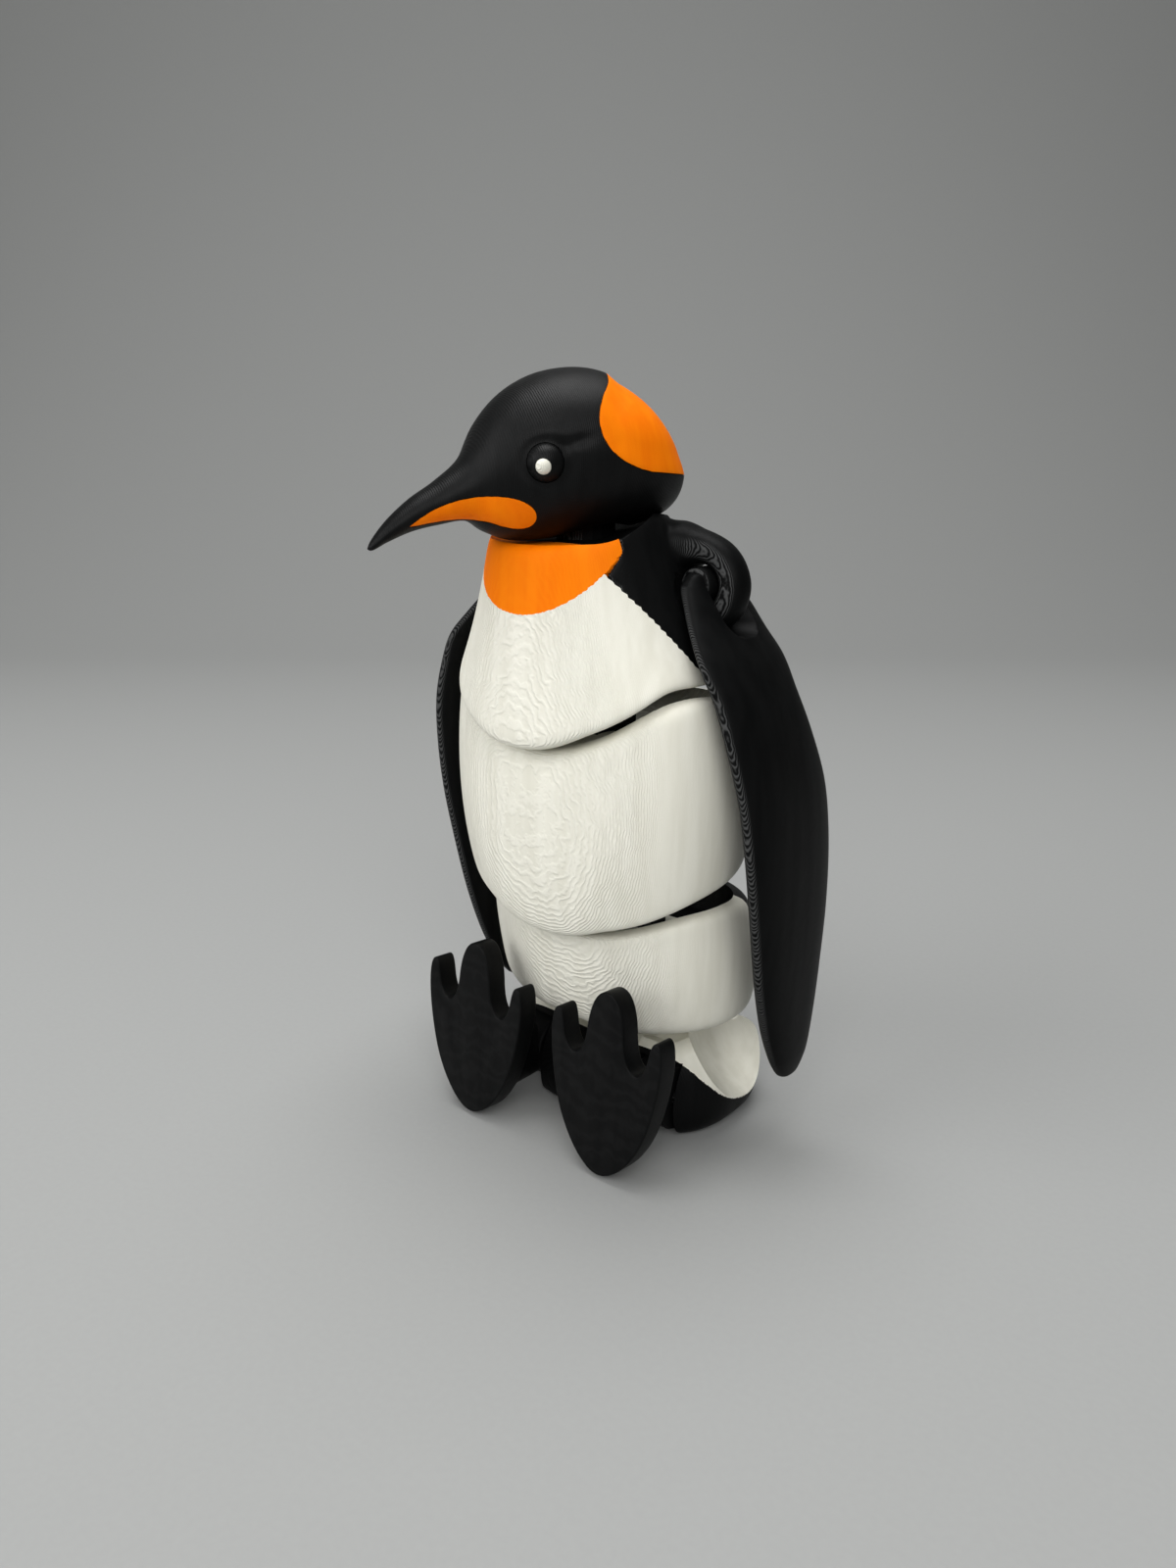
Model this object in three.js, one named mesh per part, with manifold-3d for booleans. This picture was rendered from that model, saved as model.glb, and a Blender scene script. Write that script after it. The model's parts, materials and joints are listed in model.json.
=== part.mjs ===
// Jointed toy penguin, seated, facing -Y with its left side on +X. Millimetres, Z up.
// The origin lies on the seat plane, under the middle of the figure.
import * as THREE from 'three';
import { ParametricGeometry } from 'three/addons/geometries/ParametricGeometry.js';
import { mergeVertices } from 'three/addons/utils/BufferGeometryUtils.js';
import Module from 'manifold-3d';

const wasm = await Module();
wasm.setup();

// Fits
const SEAM = 0.3; // gap between bodies that are fixed to each other
const PLAY = 0.6; // running clearance in a joint
const LIP_GAP = 0.6; // least gap between two cushions of the torso
const RIM_WALL = 2.2; // edge left around the dished top of a cushion
const DISH_DEPTH = 6;
const SEAT_CUT = 0.6; // the seat is flat where the hip's round underside is cut
const CUP_DEPTH = 8; // the hip's dish
const WELL_ROOF = 1.6; // wall between the hip's dish and a leg's well

// Main sizes
const BODY_WIDTH = 58; // widest cushion
const HEAD_LENGTH = 54.2; // nape to beak tip
const HEAD_HEIGHT = 26;
const HEAD_WIDTH = 30.4;

// Half widths of the cushions [at the hem, in the middle, at the rim], shaped on the body's width
const wide = (...shares) => shares.map((share) => share * BODY_WIDTH);
const CHEST_HALF = wide(0.4483, 0.3552, 0.2862);
const BELLY_HALF = wide(0.4724, 0.5, 0.469);
const LOWER_HALF = wide(0.4448, 0.469, 0.4517);
const HIP_HALF = wide(0.3707, 0.4379, 0.3966);

// Torso: hinge pins along X, stacked up from the seat, leaning forward as they go
const WAIST_HEIGHT = 18;
const LOWER_STEP = 21; // waist pin to belly pin
const BELLY_STEP = 36; // belly pin to chest pin
const CHEST_STEP = 34.6; // chest pin to collar
const WAIST_HINGE = { y: 2, z: WAIST_HEIGHT };
const BELLY_HINGE = { y: -4, z: WAIST_HINGE.z + LOWER_STEP };
const CHEST_HINGE = { y: -9, z: BELLY_HINGE.z + BELLY_STEP };
const NECK = { y: -13, z: CHEST_HINGE.z + CHEST_STEP };
const PIN_RADIUS = 2.2;
const PIN_LENGTH = 20;
const LUG_RADIUS = 5.2;
const LUG_WIDTH = 8;
const LUG_COVER = 3; // plastic left over the buried end of a lug
const SLOT_MOUTH = 3.5; // a lug's slot opens this much wider than its well, front and back

// Lower edges of the cushions: height above the pin, then a front lip that drops with a slope
const CHEST_LIP = { up: 11.9, ahead: 9.8, slope: 1.18, soft: 1.5 };
const BELLY_LIP = { up: 14, ahead: 10, slope: 0.62, soft: 3, tilt: 0.3 };
const LOWER_LIP = { up: 3.8, ahead: 13, slope: 0.4, soft: 2 };
const HIP_LIP = { ahead: 4, behind: 7, slope: 0.61, soft: 2 };
const BELLY_OPENING = 0.12; // slope of the gap under the chest, widening to the back
const LOWER_OPENING = 0.24; // slope of the gap under the belly

// Boundaries between white and black, and of the orange throat
const CHEST_SPLIT = { back: -6.9, up: 18, lean: -0.69 }; // from the chest pin
const SIDE_SPLIT = { back: 5, up: 11, lean: -0.256 }; // from the belly pin
const CUP_SPLIT = { radius: 12, up: 1.5 }; // round the waist pin
const BIB = { half: 14.6, drop: 11.8, depth: 9.4 };

// Shoulders and flippers
const SHOULDER_REACH = 3.6; // flap axis outside the chest's rim
const SHOULDER_DROP = 7.4; // flap axis below the collar
const SHOULDER_BACK = 3.3; // flap axis behind the chest pin
const BAR_RADIUS = 2.4;
const BAR_BACK = 1.4; // the bar lies behind the middle of the flipper's top
const RING_WALL = 4.6;
const RING_WIDTH = 5.6;
const SLOT_SLACK = 3.2; // free length of the slot below the ring
const ARM_ROOT = 9; // where the shoulder arms start, from the middle plane
const ARM_RISE = 2.4; // crest of the shoulder above the collar
const ARM_FLARE = 7; // the arm's root is this much broader at the front
const FLIPPER_LENGTH = 89.4;
const FLIPPER_WIDTH = 24;
const FLIPPER_THICK = 6;
const FLIPPER_GAP = 3.8; // hanging flipper to the side of the belly
const FLIPPER_ROOM = 1.1; // space cut for the flipper in the side of the chest

// Head
const HEAD_TURN = 21; // degrees, to the figure's right
const HEAD_LIFT = 0.6; // underside of the head above the collar
const PEG_RADIUS = 5;
const PEG_HEIGHT = 7;
const PEG_FOOT = 8; // buried length of the peg
const FLANGE_RADIUS = 7.2;
const FLANGE_THICK = 2.4;
const PATCH_DEPTH = 10; // orange bodies reach this far in from the head's widest side
const STRIPE_DEPTH = 1.4; // half the black web between the two beak stripes
const EYE_RADIUS = 3;
const EYE_SINK = 1.4; // eye centre inside the head's surface
const GLINT_RADIUS = 1.5;
const GLINT_SINK = 1; // glint centre inside the eye's surface

// Legs and feet
const LEG_AHEAD = 10; // leg pins from the waist pin
const LEG_DROP = 10;
const HIP_WALL = 2.1; // outer wall of the hip, beside a leg's hub
const HUB_RADIUS = 6.4;
const HUB_WIDTH = 7.6;
const LEG_PIN_RADIUS = 2;
const LEG_PIN_SEAT = 1; // held length of a leg's pin, on each side of the well
const LEG_PIN_LENGTH = HUB_WIDTH + 2 * (PLAY + LEG_PIN_SEAT);
const SHANK_HEIGHT = 10.6;
const LEG_REACH = 21; // leg pin to the sole, at the heel
const FOOT_THICK = 4.4;
const FOOT_LENGTH = 34;
const FOOT_WIDTH = 24.4;
const FOOT_BEVEL = 0.6;
const FOOT_OUT = 1; // middle of the foot outside the middle of the hub
const FOOT_LEAN = 5; // degrees, toes towards the body
const HEEL_LIFT = 0.4;

const PAINT = {
  black: { color: 0x1b1b1c, roughness: 0.62, metalness: 0 },
  white: { color: 0xefeee8, roughness: 0.5, metalness: 0 },
  orange: { color: 0xff7a05, roughness: 0.5, metalness: 0 },
};

const SHOULDER = {
  x: CHEST_HALF[2] + SHOULDER_REACH,
  y: CHEST_HINGE.y + SHOULDER_BACK,
  z: NECK.z - SHOULDER_DROP,
};
const RING_RADIUS = BAR_RADIUS + PLAY + RING_WALL;
const HIP_AXIS = {
  x: HIP_HALF[0] - HIP_WALL - PLAY - HUB_WIDTH / 2,
  y: WAIST_HINGE.y - LEG_AHEAD,
  z: WAIST_HINGE.z - LEG_DROP,
};
const FAR = 200; // longer than the whole figure

const figure = new THREE.Group();
figure.name = 'penguin';

// A closed solid from a closed geometry, faces turned outwards
function solid(geometry) {
  const bare = geometry.index ? geometry.toNonIndexed() : geometry.clone();
  bare.deleteAttribute('normal');
  bare.deleteAttribute('uv');
  const welded = mergeVertices(bare, 1e-4);
  const vertProperties = new Float32Array(welded.attributes.position.array);
  const triVerts = new Uint32Array(welded.index.array);
  const body = new wasm.Manifold(new wasm.Mesh({ numProp: 3, vertProperties, triVerts }));
  return body.volume() > 0 ? body : solid(flipped(welded));
}

function flipped(geometry) {
  const index = geometry.index.array;
  for (let i = 0; i < index.length; i += 3) {
    [index[i], index[i + 1]] = [index[i + 1], index[i]];
  }
  return geometry;
}

function place(name, body, paint) {
  const data = body.getMesh();
  const points = new Float32Array(data.numVert * 3);
  for (let i = 0; i < data.numVert; i += 1) {
    points.set(data.vertProperties.subarray(i * data.numProp, i * data.numProp + 3), i * 3);
  }
  const geometry = new THREE.BufferGeometry();
  geometry.setAttribute('position', new THREE.BufferAttribute(points, 3));
  geometry.setIndex(new THREE.BufferAttribute(new Uint32Array(data.triVerts), 1));
  geometry.computeVertexNormals();
  const mesh = new THREE.Mesh(geometry, new THREE.MeshStandardMaterial(PAINT[paint]));
  mesh.name = name;
  figure.add(mesh);
}

const asIs = (body) => body;
const mirrored = (body) => body.mirror([1, 0, 0]);
const SIDES = [['left', asIs], ['right', mirrored]];

function box(width, depth, height, x, y, z) {
  return solid(new THREE.BoxGeometry(width, depth, height).translate(x, y, z));
}

function rodX(radius, length, x, y, z, sides = 16) {
  const rod = new THREE.CylinderGeometry(radius, radius, length, sides);
  return solid(rod.rotateZ(Math.PI / 2).translate(x, y, z));
}

function rodZ(radius, bottom, top, sides = 20) {
  const rod = new THREE.CylinderGeometry(radius, radius, top - bottom, sides);
  return solid(rod.rotateX(Math.PI / 2).translate(0, 0, (bottom + top) / 2));
}

function ball(rx, ry, rz, x, y, z, around = 16, up = 8) {
  return solid(new THREE.SphereGeometry(1, around, up).scale(rx, ry, rz).translate(x, y, z));
}

// A flat outline carried along a direction: across and upright are the outline's own axes
function slab(shape, across, upright, through, start, length, curveSegments = 6) {
  const geometry = new THREE.ExtrudeGeometry(shape, { depth: length, bevelEnabled: false, curveSegments });
  const axes = new THREE.Matrix4().makeBasis(across, upright, through);
  const shift = through.clone().multiplyScalar(start);
  return solid(geometry.applyMatrix4(axes).translate(shift.x, shift.y, shift.z));
}

const X = new THREE.Vector3(1, 0, 0);
const Y = new THREE.Vector3(0, 1, 0);
const Z = new THREE.Vector3(0, 0, 1);
const slabX = (shape, start, length) => slab(shape, Y, Z, X, start, length);
const slabY = (shape, start, length) => slab(shape, X, Z, Y.clone().negate(), -start - length, length);
const slabZ = (shape, start, length) => slab(shape, X, Y, Z, start, length);

// Value of a smooth curve through three levels, at s from -1 to +1
function level([low, middle, high], s) {
  return middle + ((high - low) / 2) * s + ((high + low) / 2 - middle) * s * s;
}

// Soft ramp: zero behind the line y0, growing with the slope in front of it
function ramp(y, y0, slope, soft) {
  return slope * soft * Math.log1p(Math.exp((y0 - y) / soft));
}

// Radius of a rounded square of the given power in direction (c, s)
function rounding(c, s, power) {
  return (Math.abs(c) ** power + Math.abs(s) ** power) ** (-1 / power);
}

// One cushion of the torso: a rounded plan outline between a lower and an upper cut
function cushion(form, around = 26, up = 12) {
  const crowd = 0.2; // draws the grid lines towards the rounded edges
  const point = (u, v, target) => {
    const turn = 2 * Math.PI * u;
    const even = Math.PI * (v - 0.5);
    const rise = even + crowd * Math.sin(4 * even);
    const edge = rounding(Math.cos(rise), Math.sin(rise), form.edge[rise < 0 ? 0 : 1]);
    const out = Math.cos(rise) * edge;
    const s = Math.sin(rise) * edge;
    const plan = rounding(Math.cos(turn), Math.sin(turn), form.plan);
    const ahead = Math.cos(turn) * plan;
    const depth = level(ahead > 0 ? form.front : form.back, s);
    const x = level(form.half, s) * out * Math.sin(turn) * plan;
    const y = form.axis.y + level(form.centre, s) - depth * out * ahead;
    const low = form.hem(y);
    const high = form.rim(y);
    target.set(x, y, (low + high) / 2 + (s * (high - low)) / 2);
  };
  return solid(new ParametricGeometry(point, around, up));
}

// Lower edges of the cushions, from back to front; each front lip hangs over the piece below
const lip = (y, axis, { ahead, slope, soft }) => ramp(y, axis.y - ahead, slope, soft);
const chestHem = (y) => CHEST_HINGE.z + CHEST_LIP.up - lip(y, CHEST_HINGE, CHEST_LIP);
const bellyTilt = (y) => BELLY_LIP.tilt * (y - BELLY_HINGE.y);
const bellyHem = (y) => BELLY_HINGE.z + BELLY_LIP.up + bellyTilt(y) - lip(y, BELLY_HINGE, BELLY_LIP);
const lowerHem = (y) => WAIST_HINGE.z + LOWER_LIP.up - lip(y, WAIST_HINGE, LOWER_LIP);

// Distance of a place behind the front edge of a cushion's rim
const behindRim = (form, y) => y - form.axis.y - form.centre[2] + form.front[2];

// Forms give [at the hem, in the middle, at the rim]; depths are measured from the centre line
const CHEST = {
  axis: CHEST_HINGE,
  half: CHEST_HALF,
  front: [20.8, 18.2, 16.2],
  back: [17, 16, 14.5],
  centre: [-2, -3.6, -5.2],
  edge: [9, 14],
  plan: 2.15,
  hem: chestHem,
  rim: () => NECK.z,
};
const BELLY = {
  axis: BELLY_HINGE,
  half: BELLY_HALF,
  front: [17.8, 18.9, 17.4],
  back: [17, 19, 17],
  centre: [-3.5, -5, -6],
  edge: [16, 10],
  plan: 2.3,
  hem: bellyHem,
  rim: (y) => chestHem(y) - LIP_GAP - BELLY_OPENING * behindRim(BELLY, y),
};
const LOWER = {
  axis: WAIST_HINGE,
  half: LOWER_HALF,
  front: [16.4, 17.6, 16.6],
  back: [15, 18, 17],
  centre: [-3, -4, -6.5],
  edge: [8, 8],
  plan: 2.3,
  hem: lowerHem,
  rim: (y) => bellyHem(y) - LIP_GAP - LOWER_OPENING * behindRim(LOWER, y),
};
const HIP = {
  axis: WAIST_HINGE,
  half: HIP_HALF,
  front: [15, 17.5, 16],
  back: [14, 18, 17],
  centre: [0, 0.5, 2],
  edge: [3.4, 5],
  plan: 2.6,
  hem: () => -SEAT_CUT,
  rim: (y) => WAIST_HINGE.z + LOWER_LIP.up - LIP_GAP / 2 - lip(y, WAIST_HINGE, HIP_LIP)
    - ramp(-y, -WAIST_HINGE.y - HIP_LIP.behind, HIP_LIP.slope, HIP_LIP.soft),
};

// Hollow in the top of a cushion, parallel to its rim, for the piece above to nest in
function dish(form, depth) {
  const inside = (levels) => {
    const edge = levels[2] - RIM_WALL;
    return [edge - depth / 2, edge, edge];
  };
  return cushion({
    ...form,
    half: inside(form.half),
    front: inside(form.front),
    back: inside(form.back),
    centre: Array(3).fill(form.centre[2]),
    edge: [4, 8],
    hem: (y) => form.rim(y) - depth,
    rim: (y) => form.rim(y) + depth,
  }, 22, 10);
}

// Half-space in front of (side -1) or behind (side 1) a plane that leans with the slope dy/dz
function halfSpace(y, z, lean, side) {
  const block = new THREE.BoxGeometry(FAR, FAR, FAR).translate(0, (side * (FAR + SEAM)) / 2, 0);
  return solid(block.rotateX(Math.atan(-lean)).translate(0, y, z));
}

function colourSplit(body, axis, { back, up, lean }) {
  return {
    front: body.intersect(halfSpace(axis.y + back, axis.z + up, lean, -1)),
    back: body.intersect(halfSpace(axis.y + back, axis.z + up, lean, 1)),
  };
}

// Hinge between two cushions: a lug of the upper one turns on a pin held in the lower one
function lugPlate(axis, top, grow = 0) {
  const r = LUG_RADIUS + grow;
  const shape = new THREE.Shape();
  shape.moveTo(axis.y + r, top + grow);
  shape.lineTo(axis.y - r, top + grow);
  shape.lineTo(axis.y - r, axis.z);
  shape.absarc(axis.y, axis.z, r, Math.PI, 2 * Math.PI, false);
  shape.lineTo(axis.y + r, top + grow);
  return slabX(shape, -LUG_WIDTH / 2 - grow, LUG_WIDTH + 2 * grow);
}

const lug = (axis, top) => lugPlate(axis, top).subtract(rodX(PIN_RADIUS + PLAY, FAR, 0, axis.y, axis.z));
const lugPocket = (axis, top) => lugPlate(axis, top, SEAM);
const hingePin = (axis) => rodX(PIN_RADIUS, PIN_LENGTH, 0, axis.y, axis.z);
const pinBore = (axis) => rodX(PIN_RADIUS + SEAM, PIN_LENGTH + 2 * SEAM, 0, axis.y, axis.z);
const SWING_RADIUS = LUG_RADIUS + 2 * PLAY;

// Room for a lug to swing in the lower cushion, open at the top
function lugSlot(axis) {
  const width = LUG_WIDTH + 2 * PLAY;
  const well = rodX(SWING_RADIUS, width, 0, axis.y, axis.z);
  const mouth = 2 * (SWING_RADIUS + SLOT_MOUTH);
  return well.add(box(width, mouth, FAR, 0, axis.y, axis.z + PIN_RADIUS / 2 + FAR / 2));
}

// Tops of the lugs, under the next joint above each
const CHEST_LUG_TOP = NECK.z - PEG_FOOT - LUG_COVER;
const BELLY_LUG_TOP = CHEST_HINGE.z - SWING_RADIUS - LUG_COVER;
const LOWER_LUG_TOP = BELLY_HINGE.z - SWING_RADIUS - LUG_COVER;

// Flipper outline below the flap axis: [share of length, sweep back, share of width,
// share of the way out to the hanging line, share of thickness]
const FLIPPER_SHAPE = [
  [0.04, -2.2, 0.675, 0.14, 0.83],
  [0.081, -2.6, 0.742, 0.31, 0.87],
  [0.131, -2.5, 0.808, 0.52, 0.93],
  [0.192, -1.4, 0.867, 0.7, 1],
  [0.271, 0.2, 0.933, 0.85, 1],
  [0.371, 1.8, 1, 0.96, 1],
  [0.483, 3.3, 0.99, 1, 1],
  [0.617, 4.9, 0.917, 0.99, 1],
  [0.752, 6.2, 0.79, 0.96, 0.93],
  [0.864, 7.6, 0.625, 0.93, 0.83],
  [0.947, 8.9, 0.417, 0.91, 0.67],
  [0.988, 9.4, 0.21, 0.89, 0.43],
  [1, 9.4, 0.02, 0.89, 0],
];
const HANG_OUT = Math.max(...BELLY.half) + FLIPPER_GAP + FLIPPER_THICK / 2 - SHOULDER.x;

// Stations of the flipper in real sizes: { z, y, x, chord, thick }
function flipperStations() {
  const top = [[-1, 0.083, 0], [-0.7, 0.367, 1.4], [0, 0.55, 2]].map(([drop, width, thick]) => ({
    z: SHOULDER.z - drop * BAR_RADIUS,
    y: SHOULDER.y - BAR_BACK,
    x: SHOULDER.x,
    chord: width * FLIPPER_WIDTH,
    thick: thick * BAR_RADIUS,
  }));
  const blade = FLIPPER_SHAPE.map(([drop, sweep, width, out, thick]) => ({
    z: SHOULDER.z - drop * FLIPPER_LENGTH,
    y: SHOULDER.y + sweep,
    x: SHOULDER.x + out * HANG_OUT,
    chord: width * FLIPPER_WIDTH,
    thick: thick * FLIPPER_THICK,
  }));
  return [...top, ...blade];
}

function flipperBlade(grow = 0, around = 12, along = 24) {
  const stations = flipperStations();
  const spine = new THREE.CatmullRomCurve3(stations.map(({ x, y, z }) => new THREE.Vector3(x, y, z)));
  const girths = stations.map(({ chord, thick, z }) => new THREE.Vector3(chord, thick, z));
  const girth = new THREE.CatmullRomCurve3(girths);
  const point = (u, v, target) => {
    const centre = spine.getPoint(v);
    const size = girth.getPoint(v);
    const turn = 2 * Math.PI * u;
    const atEnd = v === 0 || v === 1;
    const round = atEnd ? 0 : rounding(Math.cos(turn), Math.sin(turn), 2.4);
    const y = centre.y - (size.x / 2 + grow) * Math.cos(turn) * round;
    const x = centre.x + (Math.max(size.y, 0) / 2 + grow) * Math.sin(turn) * round;
    target.set(x, y, centre.z + grow * (1 - 2 * v));
  };
  return solid(new ParametricGeometry(point, around, along));
}

// Slot in the flipper's top for the shoulder ring, square to the blade, open upwards
function flipperSlot() {
  const width = RING_WIDTH + 2 * PLAY;
  const reach = RING_RADIUS + SLOT_SLACK;
  const round = width / 2;
  const shape = new THREE.Shape();
  shape.moveTo(width / 2, FLIPPER_WIDTH);
  shape.lineTo(-width / 2, FLIPPER_WIDTH);
  shape.lineTo(-width / 2, round - reach);
  shape.absarc(0, round - reach, round, Math.PI, 2 * Math.PI, false);
  shape.lineTo(width / 2, FLIPPER_WIDTH);
  const [drop, , , out] = FLIPPER_SHAPE[2];
  const up = new THREE.Vector3(-out * HANG_OUT, 0, drop * FLIPPER_LENGTH).normalize();
  const through = new THREE.Vector3().crossVectors(Y, up);
  const cutter = slab(shape, Y, up, through, -FLIPPER_WIDTH, 2 * FLIPPER_WIDTH);
  return cutter.translate([SHOULDER.x, SHOULDER.y, SHOULDER.z]);
}

function flipper() {
  const length = RING_WIDTH + 2 * PLAY + BAR_RADIUS;
  const bar = new THREE.CylinderGeometry(BAR_RADIUS, BAR_RADIUS, length, 16);
  bar.translate(SHOULDER.x, SHOULDER.y, SHOULDER.z);
  return flipperBlade().subtract(flipperSlot()).add(solid(bar));
}

// Shoulder arm: it leaves the chest broad and ends in a ring around the flipper's bar
function shoulderArm() {
  const { x, y, z } = SHOULDER;
  const r = RING_RADIUS;
  const crest = NECK.z + ARM_RISE;
  const side = new THREE.Shape();
  side.moveTo(ARM_ROOT, z - r);
  side.lineTo(x, z - r);
  side.absarc(x, z, r, -Math.PI / 2, 0.4 * Math.PI, false);
  side.quadraticCurveTo(x - 0.2 * r, crest, x - 0.7 * r, crest);
  side.quadraticCurveTo(ARM_ROOT + 2, crest, ARM_ROOT, NECK.z - ARM_RISE);
  side.lineTo(ARM_ROOT, z - r);
  const hole = new THREE.Path();
  hole.absarc(x, z, BAR_RADIUS + PLAY, 0, 2 * Math.PI, true);
  side.holes.push(hole);
  const half = RING_WIDTH / 2;
  const broad = x - r + PLAY;
  const plan = new THREE.Shape();
  plan.moveTo(ARM_ROOT, y - half - ARM_FLARE);
  plan.quadraticCurveTo(broad, y - half - ARM_FLARE / 2, broad, y - half);
  plan.lineTo(x + r + PLAY, y - half);
  plan.lineTo(x + r + PLAY, y + half);
  plan.lineTo(ARM_ROOT, y + half);
  plan.lineTo(ARM_ROOT, y - half - ARM_FLARE);
  return slabY(side, y - FAR / 2, FAR).intersect(slabZ(plan, 0, FAR));
}

// Foot: heel, three toes and a flat sole facing -Y
function footPlate() {
  const w = FOOT_WIDTH / 2;
  const l = FOOT_LENGTH;
  const half = [
    [0.28, 0, 0.62, 0.14, 0.79, 0.305],
    [0.92, 0.44, 1, 0.6, 1, 0.7],
    [1, 0.78, 0.93, 0.815, 0.86, 0.8],
    [0.76, 0.77, 0.74, 0.645, 0.55, 0.643],
    [0.38, 0.643, 0.34, 0.7, 0.325, 0.77],
    [0.31, 0.9, 0.19, 1, 0, 1],
  ];
  const shape = new THREE.Shape();
  shape.moveTo(0, 0);
  for (const [ax, ay, bx, by, cx, cy] of half) {
    shape.bezierCurveTo(ax * w, ay * l, bx * w, by * l, cx * w, cy * l);
  }
  const starts = [[0, 0], ...half.map((row) => row.slice(4))];
  for (let i = half.length - 1; i >= 0; i -= 1) {
    const [ax, ay, bx, by] = half[i];
    shape.bezierCurveTo(-bx * w, by * l, -ax * w, ay * l, -starts[i][0] * w, starts[i][1] * l);
  }
  const plate = new THREE.ExtrudeGeometry(shape, {
    depth: FOOT_THICK - 2 * FOOT_BEVEL,
    bevelThickness: FOOT_BEVEL,
    bevelSize: FOOT_BEVEL,
    bevelOffset: -FOOT_BEVEL,
    bevelSegments: 1,
    curveSegments: 4,
  });
  plate.rotateX(Math.PI / 2).translate(0, FOOT_THICK - FOOT_BEVEL, 0);
  const lean = THREE.MathUtils.degToRad(FOOT_LEAN);
  plate.rotateX(-lean);
  const heel = HEEL_LIFT + FOOT_THICK * Math.sin(lean);
  return solid(plate.translate(HIP_AXIS.x + FOOT_OUT, HIP_AXIS.y - LEG_REACH, heel));
}

function leg() {
  const { x, y, z } = HIP_AXIS;
  const reach = LEG_REACH - FOOT_THICK / 2;
  const shank = new THREE.CylinderGeometry(1, 1, reach, 16).scale(HUB_WIDTH / 2, 1, SHANK_HEIGHT / 2);
  const hub = rodX(HUB_RADIUS, HUB_WIDTH, x, y, z, 24);
  const bore = rodX(LEG_PIN_RADIUS + PLAY, FAR, x, y, z);
  return footPlate().add(solid(shank.translate(x, y - reach / 2, z))).add(hub).subtract(bore);
}

function legPin(grow) {
  const { x, y, z } = HIP_AXIS;
  return rodX(LEG_PIN_RADIUS + grow, LEG_PIN_LENGTH + 2 * grow, x, y, z);
}

// Room in the hip for a leg to turn from seated to standing
function legWell(grow = 0) {
  const { x, y, z } = HIP_AXIS;
  const width = HUB_WIDTH + 2 * (PLAY + grow);
  const r = HUB_RADIUS + PLAY + grow;
  const ahead = box(width, FAR, 2 * r, x, y - FAR / 2, z);
  const below = box(width, 2 * r, FAR, x, y, z - FAR / 2);
  return rodX(r, width, x, y, z, 24).add(ahead).add(below);
}

// Head stations along its own forward axis: [forward, top, bottom, half width] as shares of its
// length, height and width, from the neck axis and the head's underside there
const HEAD = [
  [-0.2952, 0.3385, 0.3, 0],
  [-0.2823, 0.5077, 0.1846, 0.1776],
  [-0.2288, 0.7346, 0.0846, 0.3553],
  [-0.1328, 0.9115, 0.0231, 0.4671],
  [0, 1, 0, 0.5],
  [0.1476, 0.9692, -0.0038, 0.4539],
  [0.2583, 0.8615, 0.0038, 0.3684],
  [0.3395, 0.7, 0.0385, 0.2697],
  [0.4059, 0.4692, 0.0846, 0.1776],
  [0.4889, 0.3308, 0.0654, 0.1283],
  [0.572, 0.2231, 0.0308, 0.0987],
  [0.6458, 0.0962, -0.0269, 0.0658],
  [0.6937, -0.0192, -0.0731, 0.0296],
  [0.7048, -0.0577, -0.0654, 0],
];
const HEAD_BASE = NECK.z + HEAD_LIFT;
const headHeights = new THREE.CatmullRomCurve3(HEAD.map(([forward, top, bottom]) => (
  new THREE.Vector3(forward * HEAD_LENGTH, top * HEAD_HEIGHT, bottom * HEAD_HEIGHT)
)));
const headWidths = new THREE.CatmullRomCurve3(HEAD.map(([forward, , , half]) => (
  new THREE.Vector3(forward * HEAD_LENGTH, half * HEAD_WIDTH, 0)
)));

// Section of the head at a share of its length: { forward, half, middle, rise }
function headSection(share) {
  const height = headHeights.getPoint(share);
  return {
    forward: height.x,
    half: headWidths.getPoint(share).y,
    middle: HEAD_BASE + (height.y + height.z) / 2,
    rise: (height.y - height.z) / 2,
  };
}

function headForm(around = 20, along = 26) {
  const point = (u, v, target) => {
    const { forward, half, middle, rise } = headSection(v);
    const turn = 2 * Math.PI * u;
    const open = v === 0 || v === 1 ? 0 : 1;
    target.set(open * half * Math.sin(turn), -forward, middle + open * rise * Math.cos(turn));
  };
  return solid(new ParametricGeometry(point, around, along));
}

// Distance of the head's side from its middle plane at a place on its side view
function headSide(forward, height) {
  let low = 0;
  let high = 1;
  for (let i = 0; i < 24; i += 1) {
    const middle = (low + high) / 2;
    if (headSection(middle).forward < forward) low = middle;
    else high = middle;
  }
  const { half, middle, rise } = headSection(low);
  return half * Math.sqrt(1 - ((HEAD_BASE + height - middle) / rise) ** 2);
}

// Turn and carry a head-frame solid (forward -Y, origin on the neck axis) to its place
const onNeck = (body) => body.rotate([0, 0, -HEAD_TURN]).translate([0, NECK.y, 0]);

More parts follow.
